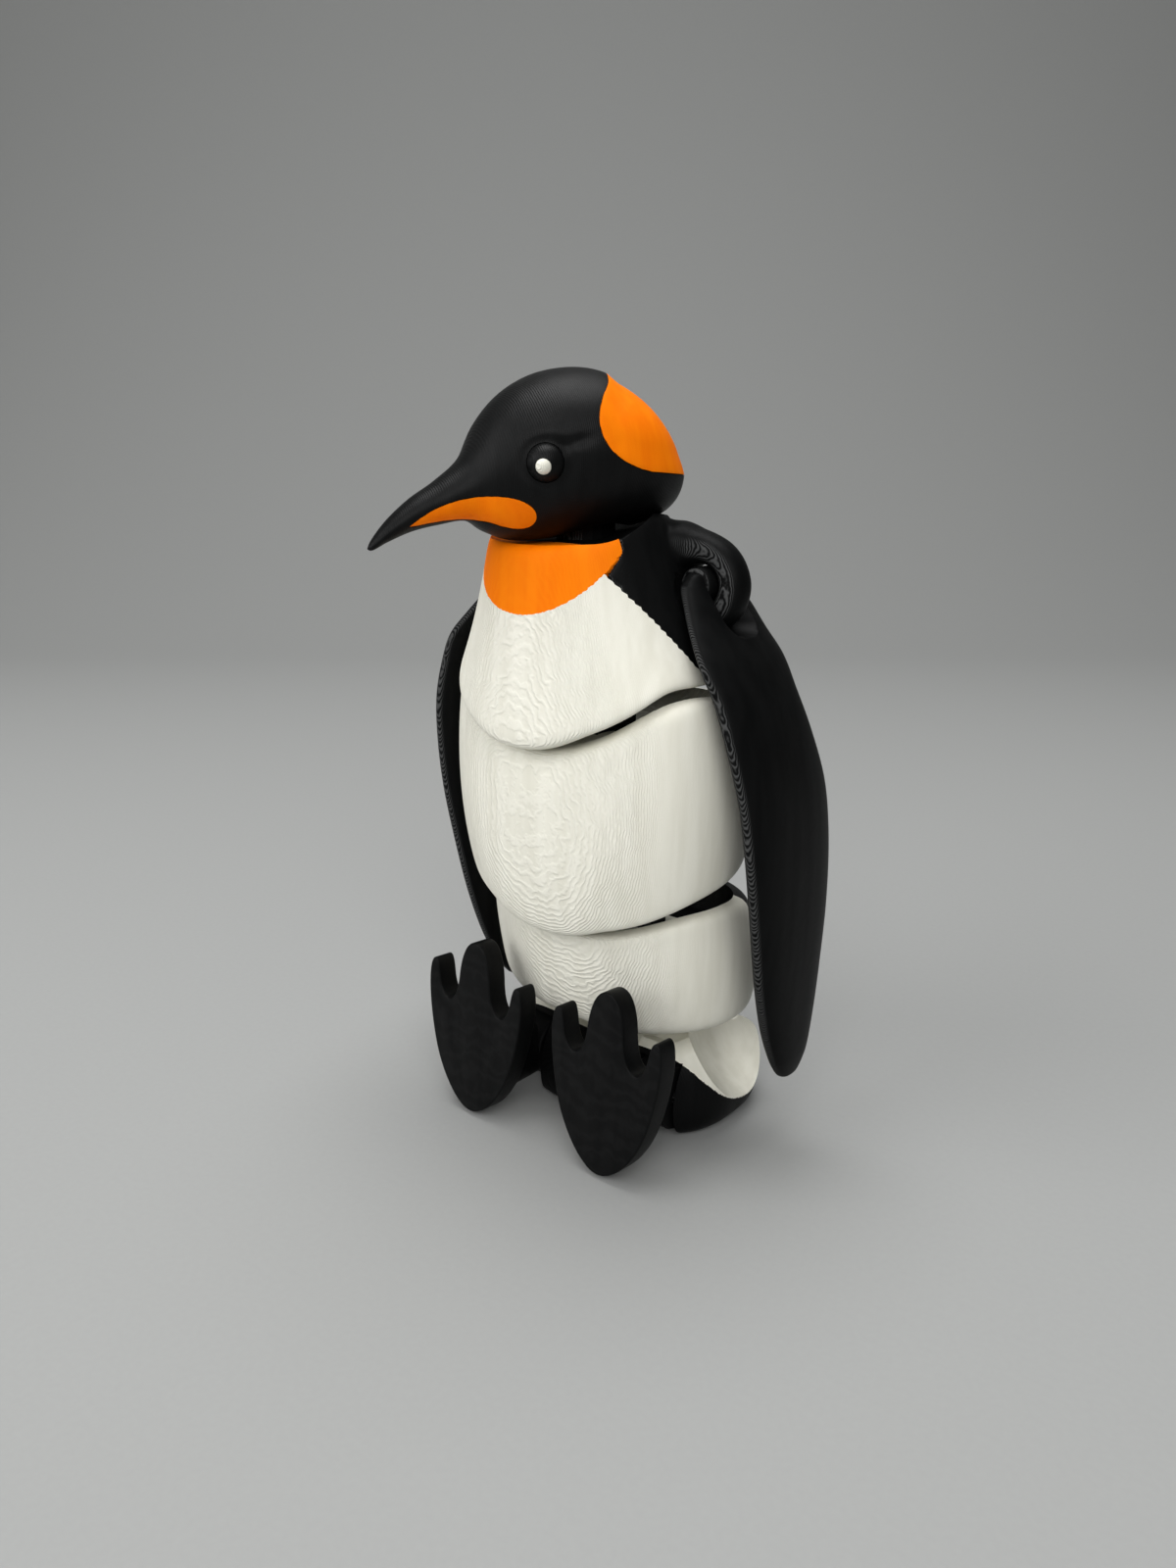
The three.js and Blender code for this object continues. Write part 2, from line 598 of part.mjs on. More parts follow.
// Side outlines of the orange areas, in shares of the head's length and height: a start, then
// corners of two numbers and curves of six
const EAR_PATCH = [
  [-0.1107, 1.1538],
  [-0.0369, 0.9346, 0.0738, 0.8577, 0.0886, 0.6654],
  [0.0923, 0.4923, 0.0185, 0.4154, -0.0738, 0.3769],
  [-0.4428, 0.3231],
  [-0.4428, 1.1538],
  [-0.1107, 1.1538],
];
const BEAK_STRIPE = [
  [0.5904, 0.0654],
  [0.5351, 0.1692, 0.452, 0.2346, 0.369, 0.2346],
  [0.3044, 0.2385, 0.2472, 0.1769, 0.2454, 0.0923],
  [0.2472, 0.0231, 0.2952, 0.0308, 0.3506, 0.0769],
  [0.4336, 0.1231, 0.5166, 0.0846, 0.5904, 0.0654],
];

function outlineOf(shares) {
  const [start, ...rows] = shares.map((row) => row.map((v, i) => v * (i % 2 ? HEAD_HEIGHT : HEAD_LENGTH)));
  const shape = new THREE.Shape();
  shape.moveTo(...start);
  for (const row of rows) {
    if (row.length === 2) shape.lineTo(...row);
    else shape.bezierCurveTo(...row);
  }
  return shape;
}

// A side outline made solid from the given inner depth outwards, on the head's left
function sideCutter(shape, inner, grow = 0) {
  const outline = new THREE.ExtrudeGeometry(shape, {
    depth: FAR,
    bevelEnabled: grow > 0,
    bevelThickness: grow,
    bevelSize: grow,
    bevelSegments: 1,
    curveSegments: 5,
  });
  const axes = new THREE.Matrix4().makeBasis(Y.clone().negate(), Z, X);
  return solid(outline.applyMatrix4(axes.setPosition(inner, 0, HEAD_BASE)));
}

const EYE_SPOT = { forward: 0.2325 * HEAD_LENGTH, height: 0.4308 * HEAD_HEIGHT };
const GLINT_DIRECTION = { forward: 0.86, side: 0.49, up: 0.14 }; // from the middle of the eye

function eyeBall(grow = 0) {
  const side = headSide(EYE_SPOT.forward, EYE_SPOT.height) - EYE_SINK;
  const r = EYE_RADIUS + grow;
  return ball(r, r, r, side, -EYE_SPOT.forward, HEAD_BASE + EYE_SPOT.height, 14, 8);
}

function eyeGlint(grow = 0) {
  const out = EYE_RADIUS - GLINT_SINK;
  const side = headSide(EYE_SPOT.forward, EYE_SPOT.height) - EYE_SINK + out * GLINT_DIRECTION.side;
  const ahead = EYE_SPOT.forward + out * GLINT_DIRECTION.forward;
  const height = HEAD_BASE + EYE_SPOT.height + out * GLINT_DIRECTION.up;
  const r = GLINT_RADIUS + grow;
  return ball(r, r, r, side, -ahead, height, 10, 6);
}

// Peg with a flange: the fixed half of the neck joint, and with clearance the head's socket
function neckPeg(grow = 0, foot = PEG_FOOT) {
  const top = NECK.z + PEG_HEIGHT;
  const post = rodZ(PEG_RADIUS + grow, NECK.z - foot, top + grow);
  return post.add(rodZ(FLANGE_RADIUS + grow, top - FLANGE_THICK - grow, top + grow));
}

function buildHead() {
  const whole = headForm();
  const patchInner = HEAD_WIDTH / 2 - PATCH_DEPTH;
  const patch = whole.intersect(sideCutter(outlineOf(EAR_PATCH), patchInner));
  const stripe = whole.intersect(sideCutter(outlineOf(BEAK_STRIPE), STRIPE_DEPTH));
  const cuts = [
    sideCutter(outlineOf(EAR_PATCH), patchInner, SEAM),
    sideCutter(outlineOf(BEAK_STRIPE), STRIPE_DEPTH, SEAM),
    eyeBall(SEAM),
    eyeGlint(SEAM),
  ];
  let shell = whole.subtract(neckPeg(PLAY));
  for (const [, side] of SIDES) {
    for (const cut of cuts) shell = shell.subtract(side(cut));
  }
  place('head_shell', onNeck(shell), 'black');
  for (const [tag, side] of SIDES) {
    place(`ear_patch_${tag}`, onNeck(side(patch)), 'orange');
    place(`beak_stripe_${tag}`, onNeck(side(stripe)), 'orange');
    place(`eye_${tag}`, onNeck(side(eyeBall().subtract(eyeGlint(SEAM)))), 'black');
    place(`eye_glint_${tag}`, onNeck(side(eyeGlint())), 'white');
  }
}

// Throat: an elliptical area of the chest's front, below the collar
function bibCutter(grow = 0) {
  const front = CHEST_HINGE.y + CHEST.centre[2] - CHEST.front[2];
  const back = front + BIB.depth + grow;
  const rod = new THREE.CylinderGeometry(1, 1, FAR, 28).scale(BIB.half + grow, 1, BIB.drop + grow);
  return solid(rod.translate(0, back - FAR / 2, NECK.z));
}

function buildChest() {
  const room = flipperBlade(FLIPPER_ROOM);
  let body = cushion(CHEST).subtract(lugPocket(CHEST_HINGE, CHEST_LUG_TOP));
  body = body.subtract(neckPeg(SEAM, PEG_FOOT + SEAM).translate([0, NECK.y, 0]));
  body = body.subtract(room).subtract(mirrored(room));
  const halves = colourSplit(body.subtract(bibCutter(SEAM)), CHEST_HINGE, CHEST_SPLIT);
  place('chest_front', halves.front, 'white');
  place('chest_bib', body.intersect(bibCutter()), 'orange');
  place('chest_back', halves.back.add(shoulderArm()).add(mirrored(shoulderArm())), 'black');
  place('neck_peg', neckPeg().translate([0, NECK.y, 0]), 'black');
  place('chest_lug', lug(CHEST_HINGE, CHEST_LUG_TOP), 'black');
}

// A belly cushion: dished on top, slotted for the lug above it, with a lug of its own below
function buildCushion(name, form, above, below, lugTop) {
  let body = cushion(form).subtract(dish(form, DISH_DEPTH)).subtract(lugSlot(above));
  body = body.subtract(pinBore(above)).subtract(lugPocket(below, lugTop));
  const halves = colourSplit(body, BELLY_HINGE, SIDE_SPLIT);
  place(`${name}_front`, halves.front, 'white');
  place(`${name}_back`, halves.back, 'black');
  place(`${name}_pin`, hingePin(above), 'black');
  place(`${name}_lug`, lug(below, lugTop), 'black');
}

// Hip: a black seat under a white cup, with the waist pin and the legs' pins
function buildHips() {
  let body = cushion(HIP).intersect(box(FAR, FAR, FAR, 0, 0, FAR / 2));
  let hollow = dish(HIP, CUP_DEPTH);
  for (const [, side] of SIDES) hollow = hollow.subtract(side(legWell(WELL_ROOF)));
  body = body.subtract(hollow).subtract(lugSlot(WAIST_HINGE)).subtract(pinBore(WAIST_HINGE));
  for (const [, side] of SIDES) {
    body = body.subtract(side(legWell())).subtract(side(legPin(SEAM)));
  }
  const cupHeight = WAIST_HINGE.z + CUP_SPLIT.up;
  const cup = (grow) => rodX(CUP_SPLIT.radius + grow, FAR, 0, WAIST_HINGE.y, cupHeight, 28);
  place('hip_cup', body.intersect(cup(0)), 'white');
  place('hip_base', body.subtract(cup(SEAM)), 'black');
  place('hip_pin', hingePin(WAIST_HINGE), 'black');
  for (const [tag, side] of SIDES) place(`leg_pin_${tag}`, side(legPin(0)), 'black');
}

function buildLimbs() {
  for (const [tag, side] of SIDES) {
    place(`flipper_${tag}`, side(flipper()), 'black');
    place(`leg_${tag}`, side(leg()), 'black');
  }
}

buildHead();
buildChest();
buildCushion('belly', BELLY, CHEST_HINGE, BELLY_HINGE, BELLY_LUG_TOP);
buildCushion('lower', LOWER, BELLY_HINGE, WAIST_HINGE, LOWER_LUG_TOP);
buildHips();
buildLimbs();

export default figure;
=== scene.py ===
# %% [markdown]
# # A jointed toy penguin, seated
# The toy was printed lying on its back, in black, white and orange plastic, with its hinges
# already in place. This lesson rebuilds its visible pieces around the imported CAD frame.
# Every shape is a formula worked out on a whole numpy grid, in millimetres, and only the last
# step turns it into metres. The figure faces -Y, its left side is on +X and it sits on z = 0.

# %% Load the frame
import json
import math
import bpy
import numpy as np
from mathutils import Matrix

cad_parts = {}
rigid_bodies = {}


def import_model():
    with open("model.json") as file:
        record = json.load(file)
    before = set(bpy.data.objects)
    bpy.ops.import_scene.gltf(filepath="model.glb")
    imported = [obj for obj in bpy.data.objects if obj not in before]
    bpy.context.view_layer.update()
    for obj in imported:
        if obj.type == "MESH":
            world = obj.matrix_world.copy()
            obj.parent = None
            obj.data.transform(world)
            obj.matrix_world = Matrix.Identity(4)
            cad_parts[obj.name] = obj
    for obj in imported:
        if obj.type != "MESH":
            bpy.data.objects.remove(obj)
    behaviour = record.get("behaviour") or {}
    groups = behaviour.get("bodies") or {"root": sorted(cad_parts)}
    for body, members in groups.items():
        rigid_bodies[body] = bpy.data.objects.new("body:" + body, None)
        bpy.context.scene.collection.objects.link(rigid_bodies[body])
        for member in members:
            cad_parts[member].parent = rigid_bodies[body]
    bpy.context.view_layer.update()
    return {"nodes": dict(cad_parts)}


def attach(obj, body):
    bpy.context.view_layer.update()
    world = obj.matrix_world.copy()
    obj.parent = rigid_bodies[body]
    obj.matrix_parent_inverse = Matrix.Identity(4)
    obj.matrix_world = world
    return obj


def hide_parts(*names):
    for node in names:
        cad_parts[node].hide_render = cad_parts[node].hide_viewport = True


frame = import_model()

MM = 0.001
SCENE = bpy.context.scene

# %% [markdown]
# ## From numbers to meshes
# Blender stores a mesh as three flat lists: corners, the order in which faces use them, and
# where each face starts. Filling these lists with whole arrays is much faster than adding one
# vertex at a time. A closed surface has a signed volume, so the same function can also turn a
# shape the right way out: if the volume is negative, every face is read backwards.

# %% Mesh writer
def add_object(name, data):
    """Puts a mesh, a lamp or a camera into the scene."""
    piece = bpy.data.objects.new(name, data)
    SCENE.collection.objects.link(piece)
    return piece


def fan_volume(points, faces):
    """Sum over all faces of the signed volume between the origin and the face, cut in fans."""
    total = 0.0
    for face in faces:
        a = points[face[:, :1]]
        b, c = points[face[:, 1:-1]], points[face[:, 2:]]
        total += np.sum(a * np.cross(b, c)) / 6
    return total


def put_mesh(name, points, faces):
    """A mesh object from points in mm and a list of index arrays, one array per face size."""
    if fan_volume(points, faces) < 0:
        faces = [face[:, ::-1] for face in faces]
    order = np.concatenate([face.ravel() for face in faces]).astype(np.int32)
    sizes = np.concatenate([np.full(len(face), face.shape[1]) for face in faces])
    starts = np.concatenate([[0], np.cumsum(sizes)[:-1]]).astype(np.int32)
    mesh = bpy.data.meshes.new(name)
    mesh.vertices.add(len(points))
    mesh.vertices.foreach_set("co", (points * MM).astype(np.float32).ravel())
    mesh.loops.add(len(order))
    mesh.loops.foreach_set("vertex_index", order)
    mesh.polygons.add(len(sizes))
    mesh.polygons.foreach_set("loop_start", starts)
    mesh.update(calc_edges=True)
    return add_object(name, mesh)


# %% Two ways to close a grid
def bands(index):
    """Four-sided faces between neighbouring rows of corner numbers, whose columns join up."""
    after = np.roll(index, -1, axis=1)
    return np.stack([index[:-1], after[:-1], after[1:], index[1:]], -1).reshape(-1, 4)


def ball(name, grid):
    """A closed surface from a grid of rows: columns join up round it, and the first and last
    row shrink to one point each."""
    rows, columns = grid.shape[:2]
    inner = grid[1:-1].reshape(-1, 3)
    points = np.vstack([inner, grid[0].mean(0), grid[-1].mean(0)])
    index = np.arange(len(inner)).reshape(rows - 2, columns)
    after = np.roll(index, -1, axis=1)
    first, last = np.full(columns, len(inner)), np.full(columns, len(inner) + 1)
    fans = np.vstack([np.stack([first, after[0], index[0]], -1),
                      np.stack([last, index[-1], after[-1]], -1)])
    return put_mesh(name, points, [bands(index), fans])


def capped(name, grid):
    """A closed surface from a grid of rows: columns join up, and the end rows are flat faces."""
    rows, columns = grid.shape[:2]
    index = np.arange(rows * columns).reshape(rows, columns)
    return put_mesh(name, grid.reshape(-1, 3), [bands(index), index[:1, ::-1], index[-1:]])


# %% Flat outlines and round bars
def along_x(a, b, c):
    """Places in space for an outline (a, b) in the YZ plane, carried along x by c."""
    return np.stack([c, a, b], -1)


def along_y(a, b, c):
    return np.stack([a, c, b], -1)


def along_z(a, b, c):
    return np.stack([a, b, c], -1)


def prism(name, outline, to_space, start, stop):
    """A flat outline (a, b) carried straight along c from start to stop."""
    a, b = outline.T
    ends = [to_space(a, b, np.full(len(a), c)) for c in (start, stop)]
    return capped(name, np.stack(ends))


def rod(name, centre, ends, radii, to_space, soft=0.3, count=48):
    """A round or oval bar through a centre, with softened rims: ovals square to the bar, drawn in
    by the soft amount at both ends."""
    angle = np.linspace(0, 2 * np.pi, count, endpoint=False)
    across, high = np.broadcast_to(radii, 2)
    rows = [to_space((across - less) * np.cos(angle), (high - less) * np.sin(angle),
                     np.full(count, c))
            for less, c in ((soft, ends[0]), (0, ends[0] + soft), (0, ends[1] - soft),
                            (soft, ends[1]))]
    return capped(name, np.stack(rows) + centre)


# %% [markdown]
# ## Cutting and joining
# The real toy is made of solids that are cut to fit each other: dished cushions, a slotted
# flipper, a head with inlays. The cuts could be modelled face by face, but a Boolean modifier
# finds them from plain tools. Its result is written back into the mesh, so that a finished
# piece carries no live modifier. A tool rides on no body, which is how it is found and deleted
# at the end of a step.

# %% Carve, copy, mirror, clear
def carve(piece, *steps):
    """Applies Boolean steps, each an operation and its tools, and keeps the outcome."""
    for operation, *tools in steps:
        for tool in tools:
            cut = piece.modifiers.new(operation.lower(), "BOOLEAN")
            cut.solver, cut.operation, cut.object = "MANIFOLD", operation, tool
    graph = bpy.context.evaluated_depsgraph_get()
    mesh = bpy.data.meshes.new_from_object(piece.evaluated_get(graph))
    piece.modifiers.clear()
    spare, piece.data = piece.data, mesh
    mesh.name = piece.name
    bpy.data.meshes.remove(spare)
    assert len(mesh.polygons) > 3, f"nothing is left of {piece.name}"
    return piece


def copy_of(piece, name):
    """A second object with its own copy of the mesh."""
    return add_object(name, piece.data.copy())


def pair_of(left):
    """A left-hand piece and the same one on the right: mirrored in the middle plane, then turned
    right side out."""
    right = copy_of(left, left.name.replace("left", "right"))
    right.data.transform(Matrix.Scale(-1, 4, (1, 0, 0)))
    right.data.flip_normals()
    return left, right


def clear():
    """Deletes the tools: every mesh in the scene that rides on no body."""
    for tool in [o for o in SCENE.objects if o.type == "MESH" and o.parent is None]:
        mesh = tool.data
        bpy.data.objects.remove(tool)
        bpy.data.meshes.remove(mesh)


# %% [markdown]
# ## Finishes
# All three plastics are matte and show the layers they were laid down in. The layers are flat
# sheets square to the print direction, so a surface that faces that direction shows them as
# wide rings, like height lines on a map, and a surface beside it shows fine stripes. A picture
# of rings would stretch on the curved pieces, so one node group works them out for every colour:
# it takes the place along the print direction, lets it wander a little, and makes a thin ridge
# at each layer. Other outputs give a mask of the places that face the print direction, long
# soft streaks and a fine grain.

# %% Small helpers for nodes
def new_node(tree, kind, **settings):
    node = tree.nodes.new(kind)
    for name, value in settings.items():
        setattr(node, name, value)
    return node


def math_node(tree, operation, first, second=None):
    """A Math node fed by sockets or plain numbers."""
    node = new_node(tree, "ShaderNodeMath", operation=operation)
    for place, value in zip(node.inputs, (first, second)):
        if isinstance(value, bpy.types.NodeSocket):
            tree.links.new(value, place)
        elif value is not None:
            place.default_value = value
    return node.outputs[0]


def noise(tree, vector, scale, detail):
    node = new_node(tree, "ShaderNodeTexNoise")
    node.inputs["Scale"].default_value = scale
    node.inputs["Detail"].default_value = detail
    tree.links.new(vector, node.inputs["Vector"])
    return node.outputs["Fac"]


def mapped(tree, vector, entry, value):
    """A Mapping node that turns or stretches coordinates."""
    node = new_node(tree, "ShaderNodeMapping")
    node.inputs[entry].default_value = value
    tree.links.new(vector, node.inputs["Vector"])
    return node.outputs["Vector"]


def y_part(tree, vector):
    node = new_node(tree, "ShaderNodeSeparateXYZ")
    tree.links.new(vector, node.inputs[0])
    return node.outputs["Y"]


def span(tree, value, low, high):
    """0 below the low value, 1 above the high one, soft in between."""
    node = new_node(tree, "ShaderNodeMapRange", interpolation_type="SMOOTHSTEP")
    node.inputs["From Min"].default_value = low
    node.inputs["From Max"].default_value = high
    tree.links.new(value, node.inputs["Value"])
    return node.outputs["Result"]


# %% Layer lines as a node group
BROAD, CLOSE, GRAIN = (130, 1), (520, 2), (5200, 3)  # noises: waves per metre, and detail
STREAK_WAVES = (420, 420, 26)  # per metre, along x, y and z
RIDGE_RISE = (0.1, 0.48)  # shares of a pitch
FACING_SLANT = (0.7, 0.97)  # part of the normal along the print direction


def layer_group():
    """Ridges: thin lines where (y + wander) is a whole number of pitches. Facing: how far the
    surface faces the print direction. Streaks: noise drawn out along z. Grain: fine noise."""
    tree = bpy.data.node_groups.new("print_layers", "ShaderNodeTree")
    for name in ("Vector", "Normal", "Pitch", "Wander", "Jitter"):
        kind = "NodeSocketVector" if name in ("Vector", "Normal") else "NodeSocketFloat"
        tree.interface.new_socket(name, in_out="INPUT", socket_type=kind)
    for name in ("Ridges", "Facing", "Streaks", "Grain"):
        tree.interface.new_socket(name, in_out="OUTPUT", socket_type="NodeSocketFloat")
    given = new_node(tree, "NodeGroupInput").outputs
    result = new_node(tree, "NodeGroupOutput").inputs
    place = given["Vector"]
    moved = y_part(tree, place)
    for amount, waves in (("Wander", BROAD), ("Jitter", CLOSE)):
        swing = math_node(tree, "SUBTRACT", noise(tree, place, *waves), 0.5)
        moved = math_node(tree, "ADD", moved, math_node(tree, "MULTIPLY", swing, given[amount]))
    layer = math_node(tree, "PINGPONG", math_node(tree, "DIVIDE", moved, given["Pitch"]), 0.5)
    slant = math_node(tree, "ABSOLUTE", y_part(tree, given["Normal"]))
    drawn_out = mapped(tree, place, "Scale", STREAK_WAVES)
    tree.links.new(span(tree, layer, *RIDGE_RISE), result["Ridges"])
    tree.links.new(span(tree, slant, *FACING_SLANT), result["Facing"])
    tree.links.new(noise(tree, drawn_out, 1, 3), result["Streaks"])
    tree.links.new(noise(tree, place, *GRAIN), result["Grain"])
    return tree


LAYERS = layer_group()
print("node group:", LAYERS.name)


# %% [markdown]
# The plastic itself is a Principled BSDF. Its colour runs between a light and a dark tone along
# the streaks, and thin lines of a lighter third tone are painted on the ridges that face the print
# direction: a painted highlight where the layer steps catch the light.
# The roughness follows the grain, and the ridges raise a small bump. A turn of the coordinates
# lets the head keep its own layers, because it is turned on the neck.

# %% How a plastic is mixed
WANDER = 0.0008
STREAK_RISE, GRAIN_LIFT = (0.3, 0.72), 0.3


def mix_tones(tree, share, light, dark):
    """A colour between two tones, each a plain colour or a socket."""
    node = new_node(tree, "ShaderNodeMix", data_type="RGBA")
    tree.links.new(share, node.inputs["Factor"])
    for entry, tone in (("A", light), ("B", dark)):
        if isinstance(tone, bpy.types.NodeSocket):
            tree.links.new(tone, node.inputs[entry])
        else:
            node.inputs[entry].default_value = (*tone, 1)
    return node.outputs["Result"]


def plastic(name, light, dark, rough, sheen, pitch, bump, lines, turn=0.0, jitter=0.0004):
    """A matte plastic: tones from light to dark, range of roughness, strength of the sheen, layer
    pitch, height of the ridges beside and facing the print direction, share and tone of the
    painted highlight on the ridges, and turn of the print axes about Z. Lengths are in metres."""
    material = bpy.data.materials.new(name)
    material.use_nodes = True
    tree = material.node_tree
    skin = tree.nodes["Principled BSDF"]
    skin.inputs["Specular IOR Level"].default_value = sheen
    source = new_node(tree, "ShaderNodeTexCoord").outputs
    layers = new_node(tree, "ShaderNodeGroup", node_tree=LAYERS)
    for output, entry in (("Object", "Vector"), ("Normal", "Normal")):
        turned = mapped(tree, source[output], "Rotation", (0, 0, turn))
        tree.links.new(turned, layers.inputs[entry])
    for entry, value in (("Pitch", pitch), ("Wander", WANDER), ("Jitter", jitter)):
        layers.inputs[entry].default_value = value
    ridges, facing, streaks, grain = layers.outputs

    tone = mix_tones(tree, span(tree, streaks, *STREAK_RISE), light, dark)
    # Painted highlight: a lighter tone on the layer ridges that face the print direction, where the
    # steps catch the light.
    ridge_highlight = math_node(tree, "MULTIPLY", math_node(tree, "MULTIPLY", ridges, facing), lines[0])
    tree.links.new(mix_tones(tree, ridge_highlight, tone, lines[1]), skin.inputs["Base Color"])

    tooth = new_node(tree, "ShaderNodeMapRange")
    tooth.inputs["To Min"].default_value, tooth.inputs["To Max"].default_value = rough
    mean = math_node(tree, "MULTIPLY", math_node(tree, "ADD", grain, streaks), 0.5)
    tree.links.new(mean, tooth.inputs["Value"])
    tree.links.new(tooth.outputs["Result"], skin.inputs["Roughness"])

    more = math_node(tree, "MULTIPLY", facing, bump[1] / bump[0] - 1)
    ridge = math_node(tree, "MULTIPLY", ridges, math_node(tree, "ADD", more, 1.0))
    raised = new_node(tree, "ShaderNodeBump")
    raised.inputs["Strength"].default_value = 1
    raised.inputs["Distance"].default_value = bump[0]
    tree.links.new(math_node(tree, "ADD", ridge, math_node(tree, "MULTIPLY", grain, GRAIN_LIFT)),
                   raised.inputs["Height"])
    tree.links.new(raised.outputs["Normal"], skin.inputs["Normal"])
    return material


# %% One plastic per colour and print direction
HEAD_TURN = math.radians(21)
BLACK = {"light": (0.005, 0.0052, 0.0053), "dark": (0.003, 0.0032, 0.0033), "rough": (0.34, 0.5)}
# Light grey painted on the black's layer ridges: a painted highlight where the steps catch the
# light. Each lines pair gives the share and tone of such a painted highlight.
RIDGE_GLINT_GREY = (0.11, 0.112, 0.112)
ORANGE = {"light": (1.0, 0.228, 0.002), "dark": (0.95, 0.19, 0.0015), "rough": (0.45, 0.6),
          "sheen": 0.05, "pitch": 0.0003, "bump": (0.000006, 0.000012),
          "lines": (0.2, (1.0, 0.26, 0.004))}
black_body = plastic("black_plastic_body", **BLACK, sheen=0.05, pitch=0.00018,
                     bump=(0.00001, 0.00006), lines=(0.6, RIDGE_GLINT_GREY))
black_foot = plastic("black_plastic_foot", **BLACK, sheen=0.07, pitch=0.0003,
                     bump=(0.00001, 0.00001), lines=(0.02, RIDGE_GLINT_GREY))
black_head = plastic("black_plastic_head", **BLACK, sheen=0.11, pitch=0.0003,
                     bump=(0.00002, 0.00003), lines=(0.15, (0.03, 0.03, 0.031)),
                     turn=HEAD_TURN, jitter=0.0002)
white_body = plastic("white_plastic", light=(0.87, 0.855, 0.755), dark=(0.79, 0.773, 0.67),
                     rough=(0.42, 0.58), sheen=0.3, pitch=0.00022, bump=(0.00001, 0.000095),
                     lines=(0.5, (0.9, 0.885, 0.79)))
orange_body = plastic("orange_plastic_throat", **ORANGE)
orange_head = plastic("orange_plastic_head", **ORANGE, turn=HEAD_TURN)
print("plastics:", len(bpy.data.materials))


# %% Handing a piece over
def hand_over(piece, body, plastic_used, sharp=34):
    """Shades a piece smooth but for edges above the sharp angle, colours it, ties it to its CAD
    body and hides the CAD node it stands for. A piece is named for its node."""
    piece.data.materials.clear()
    piece.data.materials.append(plastic_used)
    piece.data.shade_smooth()
    piece.data.set_sharp_from_angle(angle=math.radians(sharp))
    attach(piece, body)
    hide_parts(piece.name.removesuffix("_look"))
    print(f"{piece.name}: {len(piece.data.polygons)} faces on {body}")


# %% [markdown]
# ## The torso's cushions
# Chest, belly, lower body and hip are cushions on hinge pins that run along X. Each cushion is a
# rounded outline in plan that goes from a lower edge, the hem, to an upper edge, the rim. Both
# edges are curves over y, because the front lip of each cushion hangs over the one below. A
# sculpted mesh could follow them too, but a formula keeps the gap between two cushions even.
# The surface needs two parameters: the turn round the body, and the rise from hem to rim, where
# a high power makes the edges crisp and a low one makes them round.

# %% Edges of the torso
# y and z of the three pins and of the collar
PINS = ((2, 18), (-4, 39), (-9, 75), (-13, 109.6))
WAIST, BELLY_PIN, CHEST_PIN, COLLAR = (np.array(pin) for pin in PINS)
FRONT, BACK = 1, -1


def ramp(y, start, slope, soft):
    """Zero behind the line y = start, growing with the slope in front of it, softly."""
    return slope * soft * np.logaddexp(0, (start - y) / soft)


def edge(pin, rise, *drops):
    """Height over y: level at a rise above the pin, less one soft ramp for each drop. A drop
    starts at a distance from the pin and runs to the front or to the back."""
    def height(y):
        ramps = [ramp(side * y, side * (pin[0] + start), slope, soft)
                 for side, start, slope, soft in drops]
        return pin[1] + rise - sum(ramps)
    return height


# rise above the pin, then for each drop: side, start from the pin, slope and softness
collar = edge(COLLAR, 4.4, (FRONT, -0.5, 0.325, 2.5))
chest_hem = edge(CHEST_PIN, 11.4, (FRONT, -11, 0.8, 1), (FRONT, -20.4, 0.6, 0.5))
belly_rim = edge(CHEST_PIN, 10.3, (FRONT, -12, 1.5, 2), (BACK, -4, 0.16, 2))
belly_hem = edge(BELLY_PIN, 12.2, (FRONT, -11.5, 0.86, 3.5), (FRONT, -20.2, 1.3, 0.3),
                 (BACK, -3.5, -0.32, 2))
lower_rim = edge(BELLY_PIN, 7.5, (FRONT, -11.2, 0.95, 2.2), (BACK, 0, 0.09, 2))
lower_hem = edge(WAIST, 3.8, (FRONT, -13, 0.2, 2))
hip_rim = edge(WAIST, 3.5, (FRONT, -4, 0.61, 2), (BACK, 4.5, 0.61, 2))
hip_hem = edge((0, 0), -0.6)

# %% Sizes of the cushions
WIDTH = 58


def form(pin, half, front, back, centre, corners, plan, hem, rim):
    """Sizes at hem, middle and rim: half width in shares of the body's width, depth in front and
    behind, and middle from the pin; then the powers of the edges at hem and rim and of the plan."""
    sizes = {"half": np.array(half) * WIDTH, "front": np.array(front), "back": np.array(back),
             "middle": pin[0] + np.array(centre)}
    return dict(sizes, corners=corners, plan=plan, hem=hem, rim=rim)


CHEST = form(CHEST_PIN, (0.4483, 0.336, 0.256), (20.8, 17.4, 14.5), (17, 15.9, 14.1),
             (-2, -3.8, -5.6), (20, 13), 2.15, chest_hem, collar)
BELLY = form(BELLY_PIN, (0.4724, 0.5, 0.469), (17.8, 18.9, 17.4), (17, 19, 17),
             (-3.5, -5, -6), (24, 22), 2.3, belly_hem, belly_rim)
LOWER = form(WAIST, (0.4448, 0.469, 0.4517), (16.4, 17.6, 16.6), (15, 18, 17),
             (-3, -4, -6.5), (9, 18), 2.3, lower_hem, lower_rim)
HIP = form(WAIST, (0.4, 0.4379, 0.3966), (16, 17.5, 16), (16, 17.9, 16.9),
           (0, 0.5, 2), (8, 7), 2.6, hip_hem, hip_rim)


# %% Cushion surface
RIM_WALL = 2.2
CROWDING = 0.2  # brings rows closer together at both edges
LEVEL_FROM = 0.8  # share of the way out from which hem and rim run level inwards


def full_turn(count):
    return np.linspace(0, 2 * np.pi, count, endpoint=False)[None, :]


def half_turn(count):
    return np.linspace(-np.pi / 2, np.pi / 2, count)[:, None]


